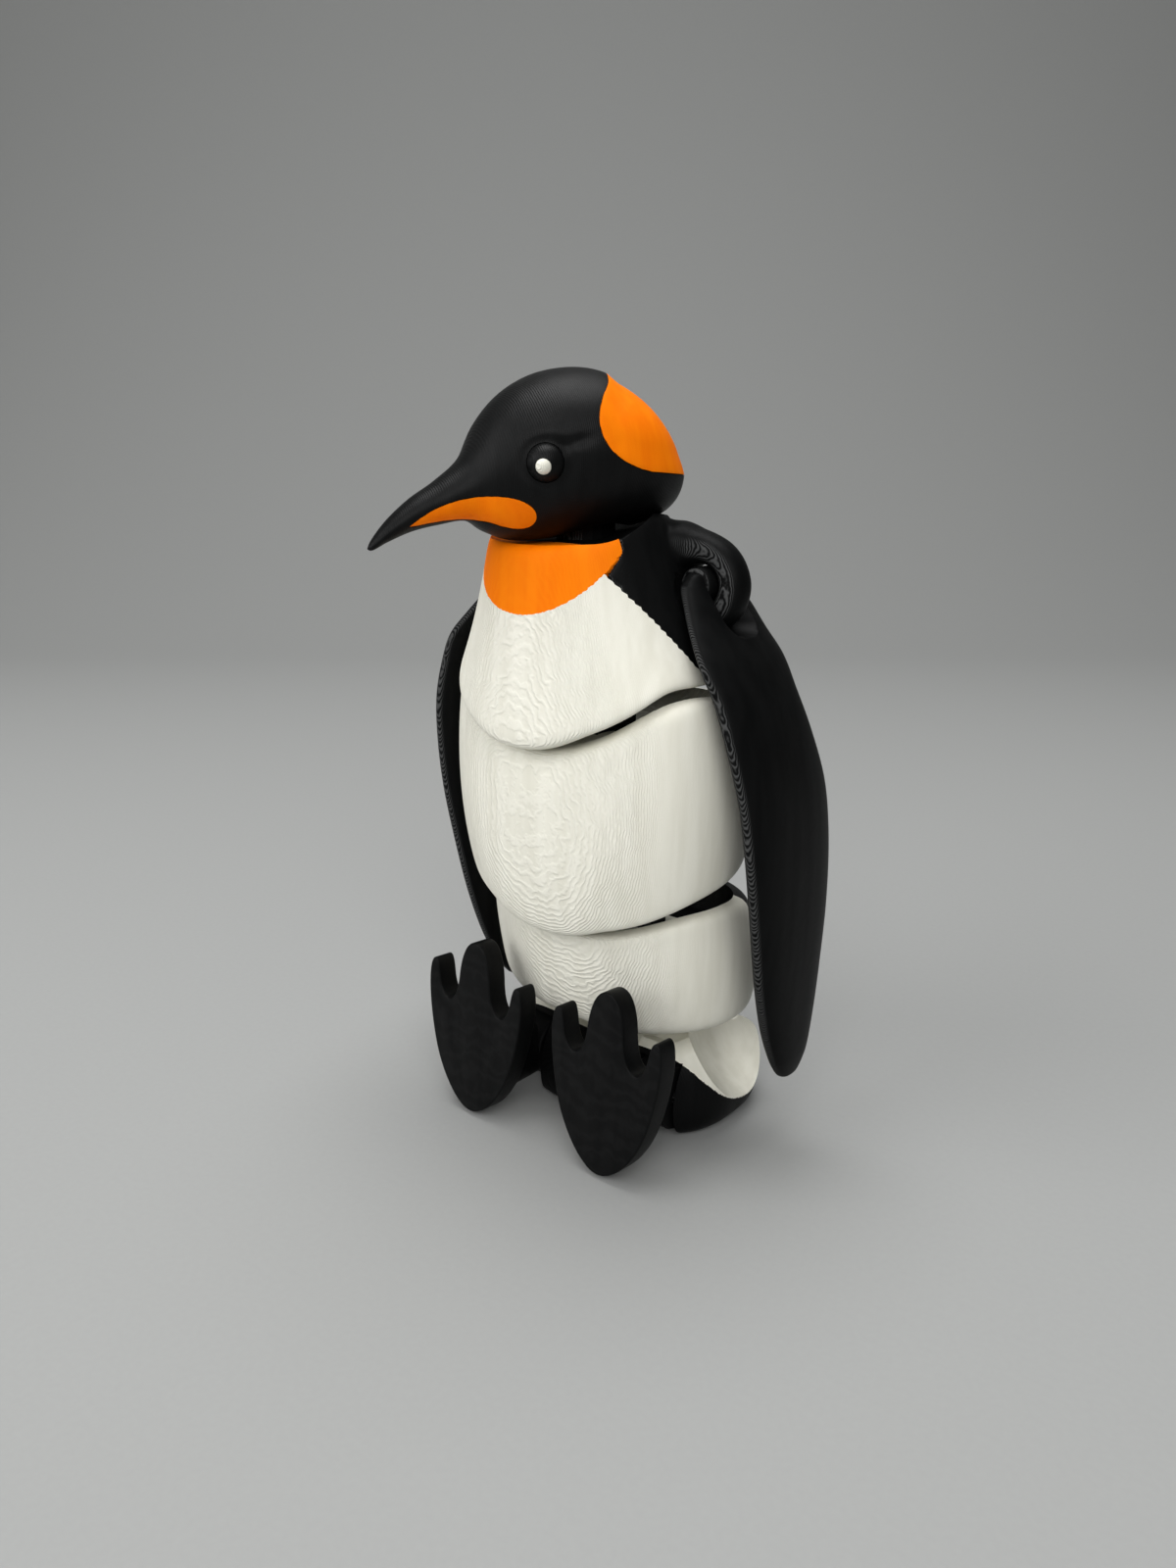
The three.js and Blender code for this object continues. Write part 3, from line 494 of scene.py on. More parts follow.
def level(levels, s):
    """Parabola through three values, at s = -1, 0 and 1."""
    low, middle, high = levels
    return middle + (high - low) / 2 * s + ((high + low) / 2 - middle) * s * s


def rounded(c, s, power):
    """Radius of a rounded square of that power in the direction (c, s)."""
    return (np.abs(c) ** power + np.abs(s) ** power) ** (-1 / power)


def cushion(shape, around=260, up=120):
    """Turn round the body and rise from hem to rim. Plan: rounded square whose half width and
    depths change with the height share s. Height: between hem and rim at the share s. Both are
    read at the y of the outer face, so that the edges stay level for a few mm inwards."""
    even, turn = half_turn(up), full_turn(around)
    rise = even + CROWDING * np.sin(4 * even)
    corner = rounded(np.cos(rise), np.sin(rise), np.where(rise < 0, *shape["corners"]))
    out, s = np.cos(rise) * corner, np.sin(rise) * corner
    plan = rounded(np.cos(turn), np.sin(turn), shape["plan"])
    ahead = np.cos(turn) * plan
    depth = np.where(ahead > 0, level(shape["front"], s), level(shape["back"], s))
    x = level(shape["half"], s) * out * np.sin(turn) * plan
    middle = level(shape["middle"], s)
    y = middle - depth * out * ahead
    outer = middle - depth * np.minimum(out / LEVEL_FROM, 1) * ahead
    low, high = shape["hem"](outer), shape["rim"](outer)
    return np.stack([x, y, (low + high) / 2 + s * (high - low) / 2], -1)


def dish(shape, depth, wall=RIM_WALL):
    """The hollow in the top of a cushion: a smaller cushion that follows the rim from a depth
    below it, leaves a wall all round, and is a little narrower at its floor."""
    floor = np.array([depth / 4, 0, 0])
    sizes = {key: shape[key][2] - wall - floor for key in ("half", "front", "back")}
    return cushion(dict(shape, **sizes, middle=np.full(3, shape["middle"][2]), corners=(7, 8),
                        hem=lambda y: shape["rim"](y) - depth,
                        rim=lambda y: shape["rim"](y) + depth), 200, 80)


# %% [markdown]
# A lug of each upper cushion swings in a slot of the lower one, so the slot is cut out of the
# dish. White and black meet along a leaning plane. On the print this line is finely stepped,
# because every layer ends a little differently, so the plane's edge is a zigzag with some chance
# in it. The chance comes from a fixed seed, and the toy looks the same each time.

# %% Tools for the cushions
FAR = 120
CHANCE = np.random.default_rng(5)


def arc(centre, radius, start, stop, count):
    angle = np.radians(np.linspace(start, stop, count))
    return centre + radius * np.stack([np.cos(angle), np.sin(angle)], -1)


def lug_slot(name, pin):
    """A round well about the pin under a broad mouth that is open upwards, in the YZ plane."""
    well, lift, mouth, half = 6.4, 1.1, 9.9, 4.6
    low = math.degrees(math.asin(lift / well))
    round_part = arc(pin, well, 180 - low, 360 + low, 40)
    y, z = pin
    sides = [[y + mouth, z + lift], [y + mouth, FAR], [y - mouth, FAR], [y - mouth, z + lift]]
    return prism(name, np.vstack([round_part, sides]), along_x, -half, half)


def front_block(name, place, lean, step=0.34, ragged=0.1, tall=60):
    """Everything in front of a leaning plane. Its edge swings by the ragged amount, row by row."""
    height = np.arange(-tall, tall, step)
    zigzag = np.arange(len(height)) % 2 * 2 - 1
    swing = ragged * zigzag * CHANCE.uniform(0.2, 1, len(height))
    line = np.stack([place[0] + lean * height + swing, place[1] + height], -1)
    corners = [[-FAR, line[-1, 1]], [-FAR, line[0, 1]]]
    return prism(name, np.vstack([line, corners]), along_x, -FAR, FAR)


# %% Belly and lower body
SIDE_SPLIT, SIDE_LEAN = BELLY_PIN + (5, 11), -0.256
DISH = 9
LINING, LINED_WALL = 10.2, 1  # white skin of the belly's dish: its own depth, and wall outside it


def build_cushion(name, shape, pin_above, white_part):
    """A dished and slotted cushion, parted into a white front and a black back."""
    hollow, slot = ball("hollow", dish(shape, DISH)), lug_slot("slot", pin_above)
    back = carve(ball(f"{name}_back_look", cushion(shape)), ("DIFFERENCE", hollow, slot))
    front = carve(copy_of(back, f"{name}_front_look"), ("INTERSECT", white_part))
    carve(back, ("DIFFERENCE", white_part))
    hand_over(front, name, white_body)
    hand_over(back, name, black_body)


side_front = front_block("side_front", SIDE_SPLIT, SIDE_LEAN)
lining = ball("lining", dish(BELLY, LINING, LINED_WALL))
lined_front = carve(copy_of(side_front, "lined_front"), ("UNION", lining))
build_cushion("belly", BELLY, CHEST_PIN, lined_front)
build_cushion("lower", LOWER, BELLY_PIN, side_front)
clear()

# %% [markdown]
# ## Flippers
# A flipper is a flat paddle that hangs from a bar. It could be drawn as an outline with a
# thickness, but it is also curved from top to tip, so a rounded section is carried along a
# curved spine. Its two parameters are the share along the spine and the turn round the section,
# and the spine and the section sizes pass smoothly through a short table of stations. The slot
# at the top lets the shoulder's ring reach the bar. Its edges are soft on the real toy, so the
# cutting tool flares out where it leaves the blade.

# %% Smooth curve through stations
def smooth_through(stations, share):
    """A curve through the stations whose speed follows the square root of their distances. Each
    span is a cubic with the slopes of the parabola through the three stations round its end."""
    p = np.asarray(stations, float)
    p = np.vstack([2 * p[0] - p[1], p, 2 * p[-1] - p[-2]])
    spans = len(p) - 3
    at = np.clip(np.asarray(share) * spans, 0, spans - 1e-9)
    k = at.astype(int)
    w = (at - k)[:, None]
    gap = np.maximum(np.linalg.norm(np.diff(p, axis=0), axis=1), 1e-9)[:, None] ** 0.5
    p0, p1, p2, p3 = p[k], p[k + 1], p[k + 2], p[k + 3]
    g0, g1, g2 = gap[k], gap[k + 1], gap[k + 2]
    m1 = ((p1 - p0) / g0 - (p2 - p0) / (g0 + g1) + (p2 - p1) / g1) * g1
    m2 = ((p2 - p1) / g1 - (p3 - p1) / (g1 + g2) + (p3 - p2) / g2) * g1
    return p1 + w * (m1 + w * (3 * (p2 - p1) - 2 * m1 - m2 + w * (2 * (p1 - p2) + m1 + m2)))


# %% Flipper blade
SHOULDER = np.array([20.2, -5.7, 102.2])
BAR, PLAY, REACH, RING_WIDTH = 2.4, 0.6, 10.8, 5.6
LENGTH, BREADTH, THICK, HANG_OUT = 89.4, 24, 6, 15.58
SECTION_POWER = 2.4

# share of length, sweep back, share of breadth, share of the way out, share of thickness
BLADE = np.array([
    [0.04, 0.1, 0.72, 0.14, 0.83], [0.081, -0.7, 0.82, 0.31, 0.87], [0.131, -1.2, 0.92, 0.52, 0.93],
    [0.192, -1.1, 0.905, 0.7, 1], [0.271, -0.1, 0.958, 0.85, 1], [0.371, 1.8, 1, 0.96, 1],
    [0.483, 3.3, 0.99, 1, 1], [0.617, 4.9, 0.917, 0.99, 1], [0.752, 6.2, 0.79, 0.96, 0.93],
    [0.864, 7.6, 0.625, 0.93, 0.83], [0.947, 8.9, 0.417, 0.91, 0.67],
    [0.988, 9.4, 0.21, 0.89, 0.43], [1, 9.4, 0.02, 0.89, 0]])
# the same above the bar, with drop and thickness in bar radii
CROWN = np.array([[-1.05, 0.3, 0.083, 0, 0], [-0.75, 0.3, 0.4, 0, 1.4], [0, 0.3, 0.56, 0, 2]])


def blade(grow=0.0, around=80, along=240):
    """Section: rounded oblong, chord along y and thickness along x. Spine: stations down from the
    bar, swept back and out to the hanging line. Grow moves the whole skin outwards."""
    crown = CROWN * (BAR, 1, BREADTH, 1, BAR)
    paddle = BLADE * (LENGTH, 1, BREADTH, HANG_OUT, THICK)
    drop, sweep, breadth, out, thick = np.vstack([crown, paddle]).T
    height = SHOULDER[2] - drop
    share, turn = np.linspace(0, 1, along), full_turn(around)
    spine = np.stack([SHOULDER[0] + out, SHOULDER[1] + sweep, height], -1)
    centre = smooth_through(spine, share)[:, None]
    size = smooth_through(np.stack([breadth, thick, height], -1), share)[:, None]
    closed = np.where((share > 0) & (share < 1), 1, 0)[:, None]
    section = rounded(np.cos(turn), np.sin(turn), SECTION_POWER) * closed
    x = centre[..., 0] + (np.maximum(size[..., 1], 0) / 2 + grow) * np.sin(turn) * section
    y = centre[..., 1] - (size[..., 0] / 2 + grow) * np.cos(turn) * section
    z = centre[..., 2] + grow * (1 - 2 * share[:, None]) + 0 * turn
    return np.stack([x, y, z], -1)


# %% Slot for the ring
SLOT_BACK, SLOT_BELOW, SLOT_CLIMB = 2.3, 0.7, 4.1
CORE, SOFT = 1.1, 1.7  # straight half of the way through the blade, and radius of the flare


def flared_slot(name, above=30, beyond=12, count=40):
    """Outline: two straight sides and a round lower end. On its way through the blade it widens
    by a quarter circle near each face, its back side moves further back towards the outer face,
    and its lower end climbs towards the inner face."""
    half = RING_WIDTH / 2 + PLAY
    bend = np.radians(np.linspace(0, -180, count))
    outward = np.vstack([[[1, 0]], np.stack([np.cos(bend), np.sin(bend)], -1), [[-1, 0]]])
    floor = np.full(count, half - REACH - SLOT_BELOW)
    bow = CORE + SOFT * np.cos(np.linspace(0.2, np.pi / 2, 7))
    face = CORE + SOFT
    into = np.concatenate([[-beyond, -face], -bow, bow[::-1], [face, beyond]])[:, None]
    past = np.clip((np.abs(into) - CORE) / SOFT, 0, 1)
    wide = half + SOFT * (1 - np.sqrt(1 - past ** 2))
    behind = np.where(outward[:, 0] > 0, np.interp(into, (-1.5, 2.5), (0, SLOT_BACK)), 0)
    climb = np.interp(into, (-3, 2.5), (SLOT_CLIMB, 0))
    a = outward[:, 0] * wide + behind
    b = outward[:, 1] * wide + np.concatenate([[above], floor, [above]]) + climb
    up = np.array([-BLADE[2, 3] * HANG_OUT, 0, BLADE[2, 0] * LENGTH])
    up = up / np.linalg.norm(up)
    chord = np.array([0, 1, 0])
    through = into[..., None] * np.cross(chord, up)
    return capped(name, SHOULDER + a[..., None] * chord + b[..., None] * up + through)


# %% Both flippers
BAR_SKIN = 0.5  # the visible bar is this much thicker than the CAD one
half_bar = RING_WIDTH / 2 + PLAY + BAR / 2
bar = rod("bar", SHOULDER, (1 - half_bar, half_bar + SLOT_BACK), BAR + BAR_SKIN, along_y)
flipper = carve(ball("flipper_left_look", blade()), ("DIFFERENCE", flared_slot("slot")),
                ("UNION", bar))
for side, piece in zip(("left", "right"), pair_of(flipper)):
    hand_over(piece, f"{side}_flipper", black_body, sharp=50)
clear()

# %% [markdown]
# ## Head
# The head runs from the nape to the beak tip in elliptical sections. It could be sculpted from a
# ball, but its top, its underside and its half width are easier to match as three smooth curves
# along that line. A shallow ring round the eye and a soft brow are added to the half width as
# small bell curves of the distance from the eye. The orange patches and stripes are inlays with
# their own outlines, with a fine dark line round them.

# %% Inlay outlines
def curve_outline(rows, count=24):
    """A start, then corners as pairs, and cubic curves as six numbers: two handles and an end."""
    end = np.array(rows[0], float)
    points = [end]
    t = np.linspace(0, 1, count + 1)[1:, None]
    for row in rows[1:]:
        part = np.reshape(row, (-1, 2)).astype(float)
        if len(part) == 3:
            b, c, d = part
            part = ((1 - t) ** 3 * end + 3 * (1 - t) ** 2 * t * b + 3 * (1 - t) * t ** 2 * c
                    + t ** 3 * d)
        points.append(part)
        end = part[-1]
    return np.vstack(points)


def outset(outline, amount):
    """Moves each point of a closed outline along its own normal."""
    ahead = np.roll(outline, -1, 0) - np.roll(outline, 1, 0)
    normal = np.stack([ahead[:, 1], -ahead[:, 0]], -1)
    normal /= np.maximum(np.linalg.norm(normal, axis=1), 1e-9)[:, None]
    x, y = outline.T
    clockwise = np.sign(np.sum(x * np.roll(y, -1) - np.roll(x, -1) * y))
    return outline + normal * clockwise * np.asarray(amount)[..., None]


# forward of the neck and above the head's underside
EAR_TIP = 17.3
EAR = curve_outline([[-6, 30], [-2, 24.3, 4, 22.3, 4.8, EAR_TIP], [5, 12.8, 1, 10.8, -4, 9.8],
                     [-24, 8.4], [-24, 30]])
STRIPE = curve_outline([[32, 1.7], [29, 4.4, 24.5, 6.1, 20, 6.1], [16.5, 6.2, 13.4, 4.6, 13.3, 2.4],
                        [13.4, 0.6, 16, 0.8, 19, 2], [23.5, 3.2, 28, 2.2, 31.9, 1.7]])
# the patch's edge as forward over height, from its lower corner to its upper one
EAR_EDGE = EAR[-2::-1].T

# %% Curves of the head
HEAD_BASE = COLLAR[1] + 0.6
# forward, top, underside and half width, from the neck axis and the head's underside
HEAD = np.array([
    [-16, 8.8, 7.8, 0], [-15.3, 12.8, 4.8, 5.4], [-12.4, 17.8, 2.2, 10.8], [-7.2, 22.8, 0.6, 14.2],
    [0, 25.8, -0.3, 15.2], [8, 25.2, -1, 13.8], [14, 22.4, -1.1, 11.2], [18.4, 18.2, 0.3, 8.2],
    [22, 12.2, 2.2, 5.4], [26.5, 8.6, 1.7, 3.9], [31, 5.8, 0.8, 3], [35, 2.5, -0.7, 2],
    [37.6, -0.5, -1.9, 0.9], [38.2, -1.5, -1.7, 0]])
EYE = np.array([12.6, 11.2])
EAR_SLOPE, EAR_SUNK = 4, 0.75  # the patches sink over this distance, by this depth
HEAD_MIDDLE = np.array([0, 1, HEAD_BASE + 12])


def head_curves(share):
    """Forward place, middle height, half height and half width at a share of the length."""
    heights = smooth_through(HEAD[:, :3], share)
    widths = smooth_through(np.stack([HEAD[:, 0], HEAD[:, 3], 0 * HEAD[:, 0]], -1), share)
    top, under = heights[:, 1], heights[:, 2]
    return heights[:, 0], (top + under) / 2, (top - under) / 2, widths[:, 1]


def bell(distance, width):
    return np.exp(-(distance / width) ** 2)


def around_eye(ahead, height):
    """Change of the half width: a shallow ring round the eye, a brow above it and a crease that
    runs back from its upper corner. Each is a depth times bells of a distance from its line."""
    back, up = EYE[0] - ahead, height - EYE[1]
    reach, bearing = np.hypot(back, up), np.arctan2(up, back)
    ring = -0.35 * bell(reach - 3.3, 0.9)
    brow = 0.3 * bell(reach - 4.8, 1.6) * bell(bearing - 1.75, 0.8)
    crease = -0.45 * bell(up - 2.1 - 0.25 * back, 0.9) * bell(back - 4, 2.6)
    return ring + brow + crease


def ear_depth(ahead, height):
    """Distance inside the orange patch at the back of the head, seen from the side, as a share of
    the distance over which the patch sinks."""
    front = np.interp(height, *EAR_EDGE[::-1])
    lower = np.interp(ahead, *EAR_EDGE[:, EAR_EDGE[1] < EAR_TIP])
    return np.clip(np.minimum(front - ahead, height - lower) / EAR_SLOPE, 0, 1)


# %% Head surface
def head_surface(around=180, along=260):
    """Ellipses along the head, in its own frame: forward is -Y and x is the side. The patches are
    sunk a little towards the middle of the head."""
    ahead, middle, tall, wide = (c[:, None] for c in head_curves(np.linspace(0, 1, along)))
    ahead, turn = np.broadcast_arrays(ahead, full_turn(around))
    height, side = middle + tall * np.cos(turn), np.sin(turn)
    x = wide * side + around_eye(ahead, height) * side * np.abs(side) ** 0.5
    grid = np.stack([x, -ahead, HEAD_BASE + height], -1)
    inward = HEAD_MIDDLE - grid
    inward /= np.maximum(np.linalg.norm(inward, axis=-1, keepdims=True), 1e-9)
    sunk = EAR_SUNK * np.sin(np.pi / 2 * ear_depth(ahead, height))
    return grid + inward * sunk[..., None]


def on_neck(piece):
    """Turns a piece made in the head's frame to where the head looks."""
    place = Matrix.Translation((0, COLLAR[0] * MM, 0)) @ Matrix.Rotation(-HEAD_TURN, 4, "Z")
    piece.data.transform(place)
    return piece


def side_tool(name, outline, inner, grow, ragged, outer=40):
    """An outline of the head's side view, carried outwards from the inner depth on the left. Its
    edge is a little uneven."""
    uneven = grow + ragged * CHANCE.uniform(-1, 1, len(outline))
    to_head = lambda a, b, c: np.stack([c, -a, HEAD_BASE + b], -1)
    return prism(name, outset(outline, uneven), to_head, inner - grow, outer)


# %% Inlays
# outline, depth of its inner face, dark line round it and unevenness
INLAYS = {"ear_patch": (EAR, 5.2, 0.11, 0.05), "beak_stripe": (STRIPE, 1.4, 0.09, 0.03)}
whole = ball("head_shell_look", head_surface())
inlays, rooms = [], []
for name, (outline, inner, line, ragged) in INLAYS.items():
    tool = side_tool(f"{name}_tool", outline, inner, 0, ragged)
    rooms += pair_of(side_tool(f"{name}_left_room", outline, inner, line, ragged))
    inlays += pair_of(carve(copy_of(whole, f"{name}_left_look"), ("INTERSECT", tool)))
print("inlays:", *[inlay.name for inlay in inlays])

# %% Eyes
EYE_RADIUS, EYE_SUNK, EYE_PLAY = 3, 1.4, 0.1
GLINT_RADIUS, GLINT_PLAY = 1.4, 0.03
GLINT_OUT = np.array([1.62, -1.11, -0.4])  # from the middle of the eye
CORNER_OUT, CORNER_RADII = (1.1, -1.7, -0.9), (1.3, 2.3, 1.5)  # inner corner of the eye's socket


def globe(name, centre, radii, rows=28, columns=40):
    """A sphere stretched along the three axes."""
    rise, turn = half_turn(rows), full_turn(columns)
    unit = np.stack([np.cos(rise) * np.cos(turn), np.cos(rise) * np.sin(turn),
                     np.sin(rise) + 0 * turn], -1)
    return ball(name, centre + unit * radii)


share = np.linspace(0, 1, 2000)
at_eye = np.interp(EYE[0], head_curves(share)[0], share)
_, middle, tall, wide = (c[0] for c in head_curves(np.array([at_eye])))
eye_side = wide * math.sqrt(1 - ((EYE[1] - middle) / tall) ** 2) - EYE_SUNK
eye_centre = np.array([eye_side, -EYE[0], HEAD_BASE + EYE[1]])
glint_centre = eye_centre + GLINT_OUT
glint_room = globe("glint_room", glint_centre, GLINT_RADIUS + GLINT_PLAY)
eye = carve(globe("eye_left_look", eye_centre, EYE_RADIUS, 48, 64), ("DIFFERENCE", glint_room))
glint = globe("eye_glint_left_look", glint_centre, GLINT_RADIUS)
eyes, glints = pair_of(eye), pair_of(glint)
corner = globe("corner", eye_centre + CORNER_OUT, CORNER_RADII)
socket = carve(globe("socket_left", eye_centre, EYE_RADIUS + EYE_PLAY), ("UNION", corner))
print("eye centre in the head's frame:", eye_centre.round(2))

# %% Cut the head and hand it over
PEG_ENDS, PEG_RADIUS = (-8, 7.6), 7.8
peg_room = rod("peg_room", (0, 0, COLLAR[1]), PEG_ENDS, PEG_RADIUS, along_z)
carve(whole, ("DIFFERENCE", *rooms, *pair_of(socket), peg_room))
hand_over(on_neck(whole), "head", black_head, sharp=50)
for inlay in inlays:
    hand_over(on_neck(inlay), "head", orange_head, sharp=50)
for eye, glint in zip(eyes, glints):
    hand_over(on_neck(eye), "head", black_head)
    hand_over(on_neck(glint), "head", white_body)
clear()

# %% [markdown]
# ## Chest and shoulders
# The chest is one more cushion, hollowed beside the flippers so that they hang free. The orange
# throat is an oval area under the collar, set flush into the white and the black. The shoulders
# are thick hooks that leave the back of the chest, close round the flipper's bar and come back.
# A ring stuck on the chest would look added, so a rounded section is carried along a bent path
# whose both ends lie inside the chest, and the corner between the two is softened afterwards.

# %% Chest body and throat
BIB_HALF, BIB_DROP, BIB_BACK, BIB_LINE = 14.6, 11.8, -21, 0.1
CHEST_SPLIT, CHEST_LEAN = CHEST_PIN + (-6.9, 18), -0.69
FLIPPER_ROOM = 1.1
HEAD_LIMITS = np.radians((-25, 65))


def ragged_oval(name, grow, ragged=0.07, count=360):
    """An oval about the middle of the collar with a slightly uneven edge, carried along y."""
    angle = np.linspace(0, 2 * np.pi, count, endpoint=False)
    uneven = 1 + (grow + ragged * CHANCE.uniform(-1, 1, count)) / BIB_DROP
    outline = np.stack([BIB_HALF * uneven * np.cos(angle),
                        COLLAR[1] + BIB_DROP * uneven * np.sin(angle)], -1)
    return prism(name, outline, along_y, -FAR, BIB_BACK + grow)


def head_sweep(name, play=0.45, outer=24, clear_of=40, lid=160.0):
    """Room that the head needs while it turns: over each place round the neck, the lowest underside
    that any turn brings there, less the play."""
    reach, bearing = np.linspace(0, outer, 70)[:, None], full_turn(180)
    curves = head_curves(np.linspace(0, 1, 400))
    turns = (np.linspace(*HEAD_LIMITS, 31) - HEAD_TURN)[:, None, None]
    ahead, side = reach * np.cos(bearing - turns), reach * np.sin(bearing - turns)
    middle, tall, wide = (np.interp(ahead, curves[0], curve, left=beyond, right=beyond)
                          for curve, beyond in zip(curves[1:], (clear_of, 0, 1e-3)))
    under = middle - tall * np.sqrt(np.clip(1 - (side / wide) ** 2, 0, 1))
    under = np.where(np.abs(side) < wide, under, clear_of).min(0)
    x, y = reach * np.sin(bearing), COLLAR[0] - reach * np.cos(bearing)
    floor = np.stack([x, y, HEAD_BASE - play + under], -1)
    top = np.stack([x[[-1, 0]], y[[-1, 0]], np.full((2, x.shape[1]), lid)], -1)
    return ball(name, np.concatenate([floor, top]))


bowl = head_sweep("bowl")
chest = carve(ball("chest_back_look", cushion(CHEST, 300, 140)),
              ("DIFFERENCE", *pair_of(ball("room_left", blade(FLIPPER_ROOM))), bowl))
oval, groove = ragged_oval("oval", 0), ragged_oval("groove", BIB_LINE)
chest_front = front_block("chest_front_block", CHEST_SPLIT, CHEST_LEAN, step=0.5, ragged=0.2)
bib = carve(copy_of(chest, "chest_bib_look"), ("INTERSECT", oval))
front = carve(copy_of(chest, "chest_front_look"), ("DIFFERENCE", oval), ("INTERSECT", chest_front))
hand_over(bib, "chest", orange_body)
hand_over(front, "chest", white_body)

# %% Shoulder hooks
RING_MIDDLE, RING_THICK, RING_HALF, HOOK_POWER = 4.95, 1.9, 2.8, 2.3
# stations of the path: place (x, z), half thickness, half breadth and shift along y
HOOK_START = [[4, 106, 6, 7.5, -1], [9.5, 106.9, 5.4, 7, -1]]
HOOK_END = [[15, 97, 2.3, 2.8, 0], [9, 97, 2.4, 2.8, 0]]
# between them, round the bar: bearing and distance from it instead of the place
HOOK_RING = np.array([
    [128, 7.3, 4.2, 5.2, -0.8], [108, 6.1, 3.05, 3.8, -0.3], [84, 5.5, 2.5, 3.1, 0],
    [58, 5.3, 2.3, 2.9, 0], [30, 5.25, 2.25, 2.8, 0], [0, 5.35, 2.35, 2.8, 0],
    [-30, 5.45, 2.45, 2.8, 0], [-60, 5.55, 2.55, 2.8, 0], [-90, 5.5, 2.5, 2.8, 0]])


def shoulder_hook(name):
    """Path in the XZ plane: in from the chest, over the top, round the bar, and back into the
    chest. Section: rounded oblong, thick along the ring's radius and broad along y."""
    bearing, away = np.radians(HOOK_RING[:, 0]), HOOK_RING[:, 1]
    ring = SHOULDER[::2] + away[:, None] * np.stack([np.cos(bearing), np.sin(bearing)], -1)
    stations = np.vstack([HOOK_START, np.hstack([ring, HOOK_RING[:, 2:]]), HOOK_END])
    share, turn = np.linspace(0, 1, 140), full_turn(64)
    line = smooth_through(stations[:, :2], share)
    thick, broad, shift = smooth_through(stations[:, 2:], share).T[..., None]
    ahead = np.gradient(line, axis=0)
    ahead = ahead / np.linalg.norm(ahead, axis=1)[:, None]
    corner = rounded(np.cos(turn), np.sin(turn), HOOK_POWER)
    side = thick * np.cos(turn) * corner
    x, z = line[:, :1] - ahead[:, 1:] * side, line[:, 1:] + ahead[:, :1] * side
    return capped(name, np.stack([x, SHOULDER[1] + shift + broad * np.sin(turn) * corner, z], -1))


def ring_back(name):
    """The rest of the ring, on the chest's side of the bar: a round section along an arc."""
    bearing, turn = np.radians(np.linspace(105, 285, 60))[:, None], full_turn(40)
    away = RING_MIDDLE + RING_THICK * np.cos(turn)
    y = RING_HALF * np.sin(turn) + 0 * bearing
    return capped(name, SHOULDER + along_y(away * np.cos(bearing), away * np.sin(bearing), y))


hook = carve(shoulder_hook("hook_left"), ("UNION", ring_back("ring_back")), ("DIFFERENCE", bowl))
carve(chest, ("DIFFERENCE", groove, chest_front), ("UNION", *pair_of(hook)))


# %% Soft joint between hooks and chest
HOLLOW_ANGLE = math.radians(25)


def read(items, attribute, width, kind=float):
    """One attribute of all vertices, edges, loops or faces of a mesh, as rows of an array."""
    values = np.empty(width * len(items), kind)
    items.foreach_get(attribute, values)
    return values.reshape(-1, width) if width > 1 else values


def inner_corners(mesh, points, ends):
    """Middles of the edges where two faces meet in a hollow of more than the angle."""
    sizes = read(mesh.polygons, "loop_total", 1, int)
    normal, centre = read(mesh.polygons, "normal", 3), read(mesh.polygons, "center", 3)
    face = np.repeat(np.arange(len(sizes)), sizes)
    order = np.argsort(read(mesh.loops, "edge_index", 1, int), kind="stable")
    first, second = face[order[0::2]], face[order[1::2]]
    bent = np.sum(normal[first] * normal[second], 1) < math.cos(HOLLOW_ANGLE)
    hollow = np.sum(normal[first] * (centre[second] - centre[first]), 1) > 0
    return points[ends].mean(1)[bent & hollow]


def soften(piece, reach, rounds, pull=0.6, fade=1.4):
    """A fillet. Vertices close to a sharp inner corner move towards the mean of their neighbours,
    the more the closer they are, in a number of rounds."""
    mesh = piece.data
    points, ends = read(mesh.vertices, "co", 3) / MM, read(mesh.edges, "vertices", 2, int)
    seam = inner_corners(mesh, points, ends)
    away = np.full(len(points), 1e9)
    for part in np.array_split(seam, max(1, len(seam) // 40)):
        away = np.minimum(away, np.linalg.norm(points[:, None] - part[None], axis=2).min(1))
    share = pull * np.clip(fade - away / reach, 0, 1)[:, None]
    count = np.bincount(ends.ravel(), minlength=len(points))[:, None]
    a, b = ends.T
    for _ in range(rounds):
        total = np.zeros_like(points)
        np.add.at(total, a, points[b])
        np.add.at(total, b, points[a])
        points = points + share * (total / count - points)
    mesh.vertices.foreach_set("co", (points * MM).ravel())
    mesh.update()
    print(f"{piece.name}: {np.count_nonzero(share)} vertices softened round {len(seam)} corners")


BAR_ROOM, BAR_CLEAR = (-6, 8), 0.25
soften(chest, reach=1.6, rounds=14)
bar_room = rod("bar_room_left", SHOULDER, BAR_ROOM, BAR + BAR_SKIN + BAR_CLEAR, along_y, soft=0)
carve(chest, ("DIFFERENCE", *pair_of(bar_room)))
hand_over(chest, "chest", black_body, sharp=50)
clear()

# %% [markdown]
# ## Hip
# The hip is a low cushion, cut flat where it sits. Its top is a white cup for the lower body,
# scooped open at both sides, and the rest is black. Two wells in front hold the legs, and a roof
# stays between wells and cup. The hollows could be pushed into one surface, but cutting them
# one after the other leaves the same clean edges as on the print.

# %% Tools for the hip
HIP_AXIS = np.array([15, -8, 8])
HUB, HUB_WIDTH, ROOF, HIP_DISH = 6.4, 7.6, 1.6, 3
CUP_CENTRE, CUP_RADIUS, CUP_SPAN = (8, 22.7), 18.2, (172, 292)
CUP_FOOT, CUP_BACK = (17.6, 7), (18.8, 10)  # corners just inside the hip's back
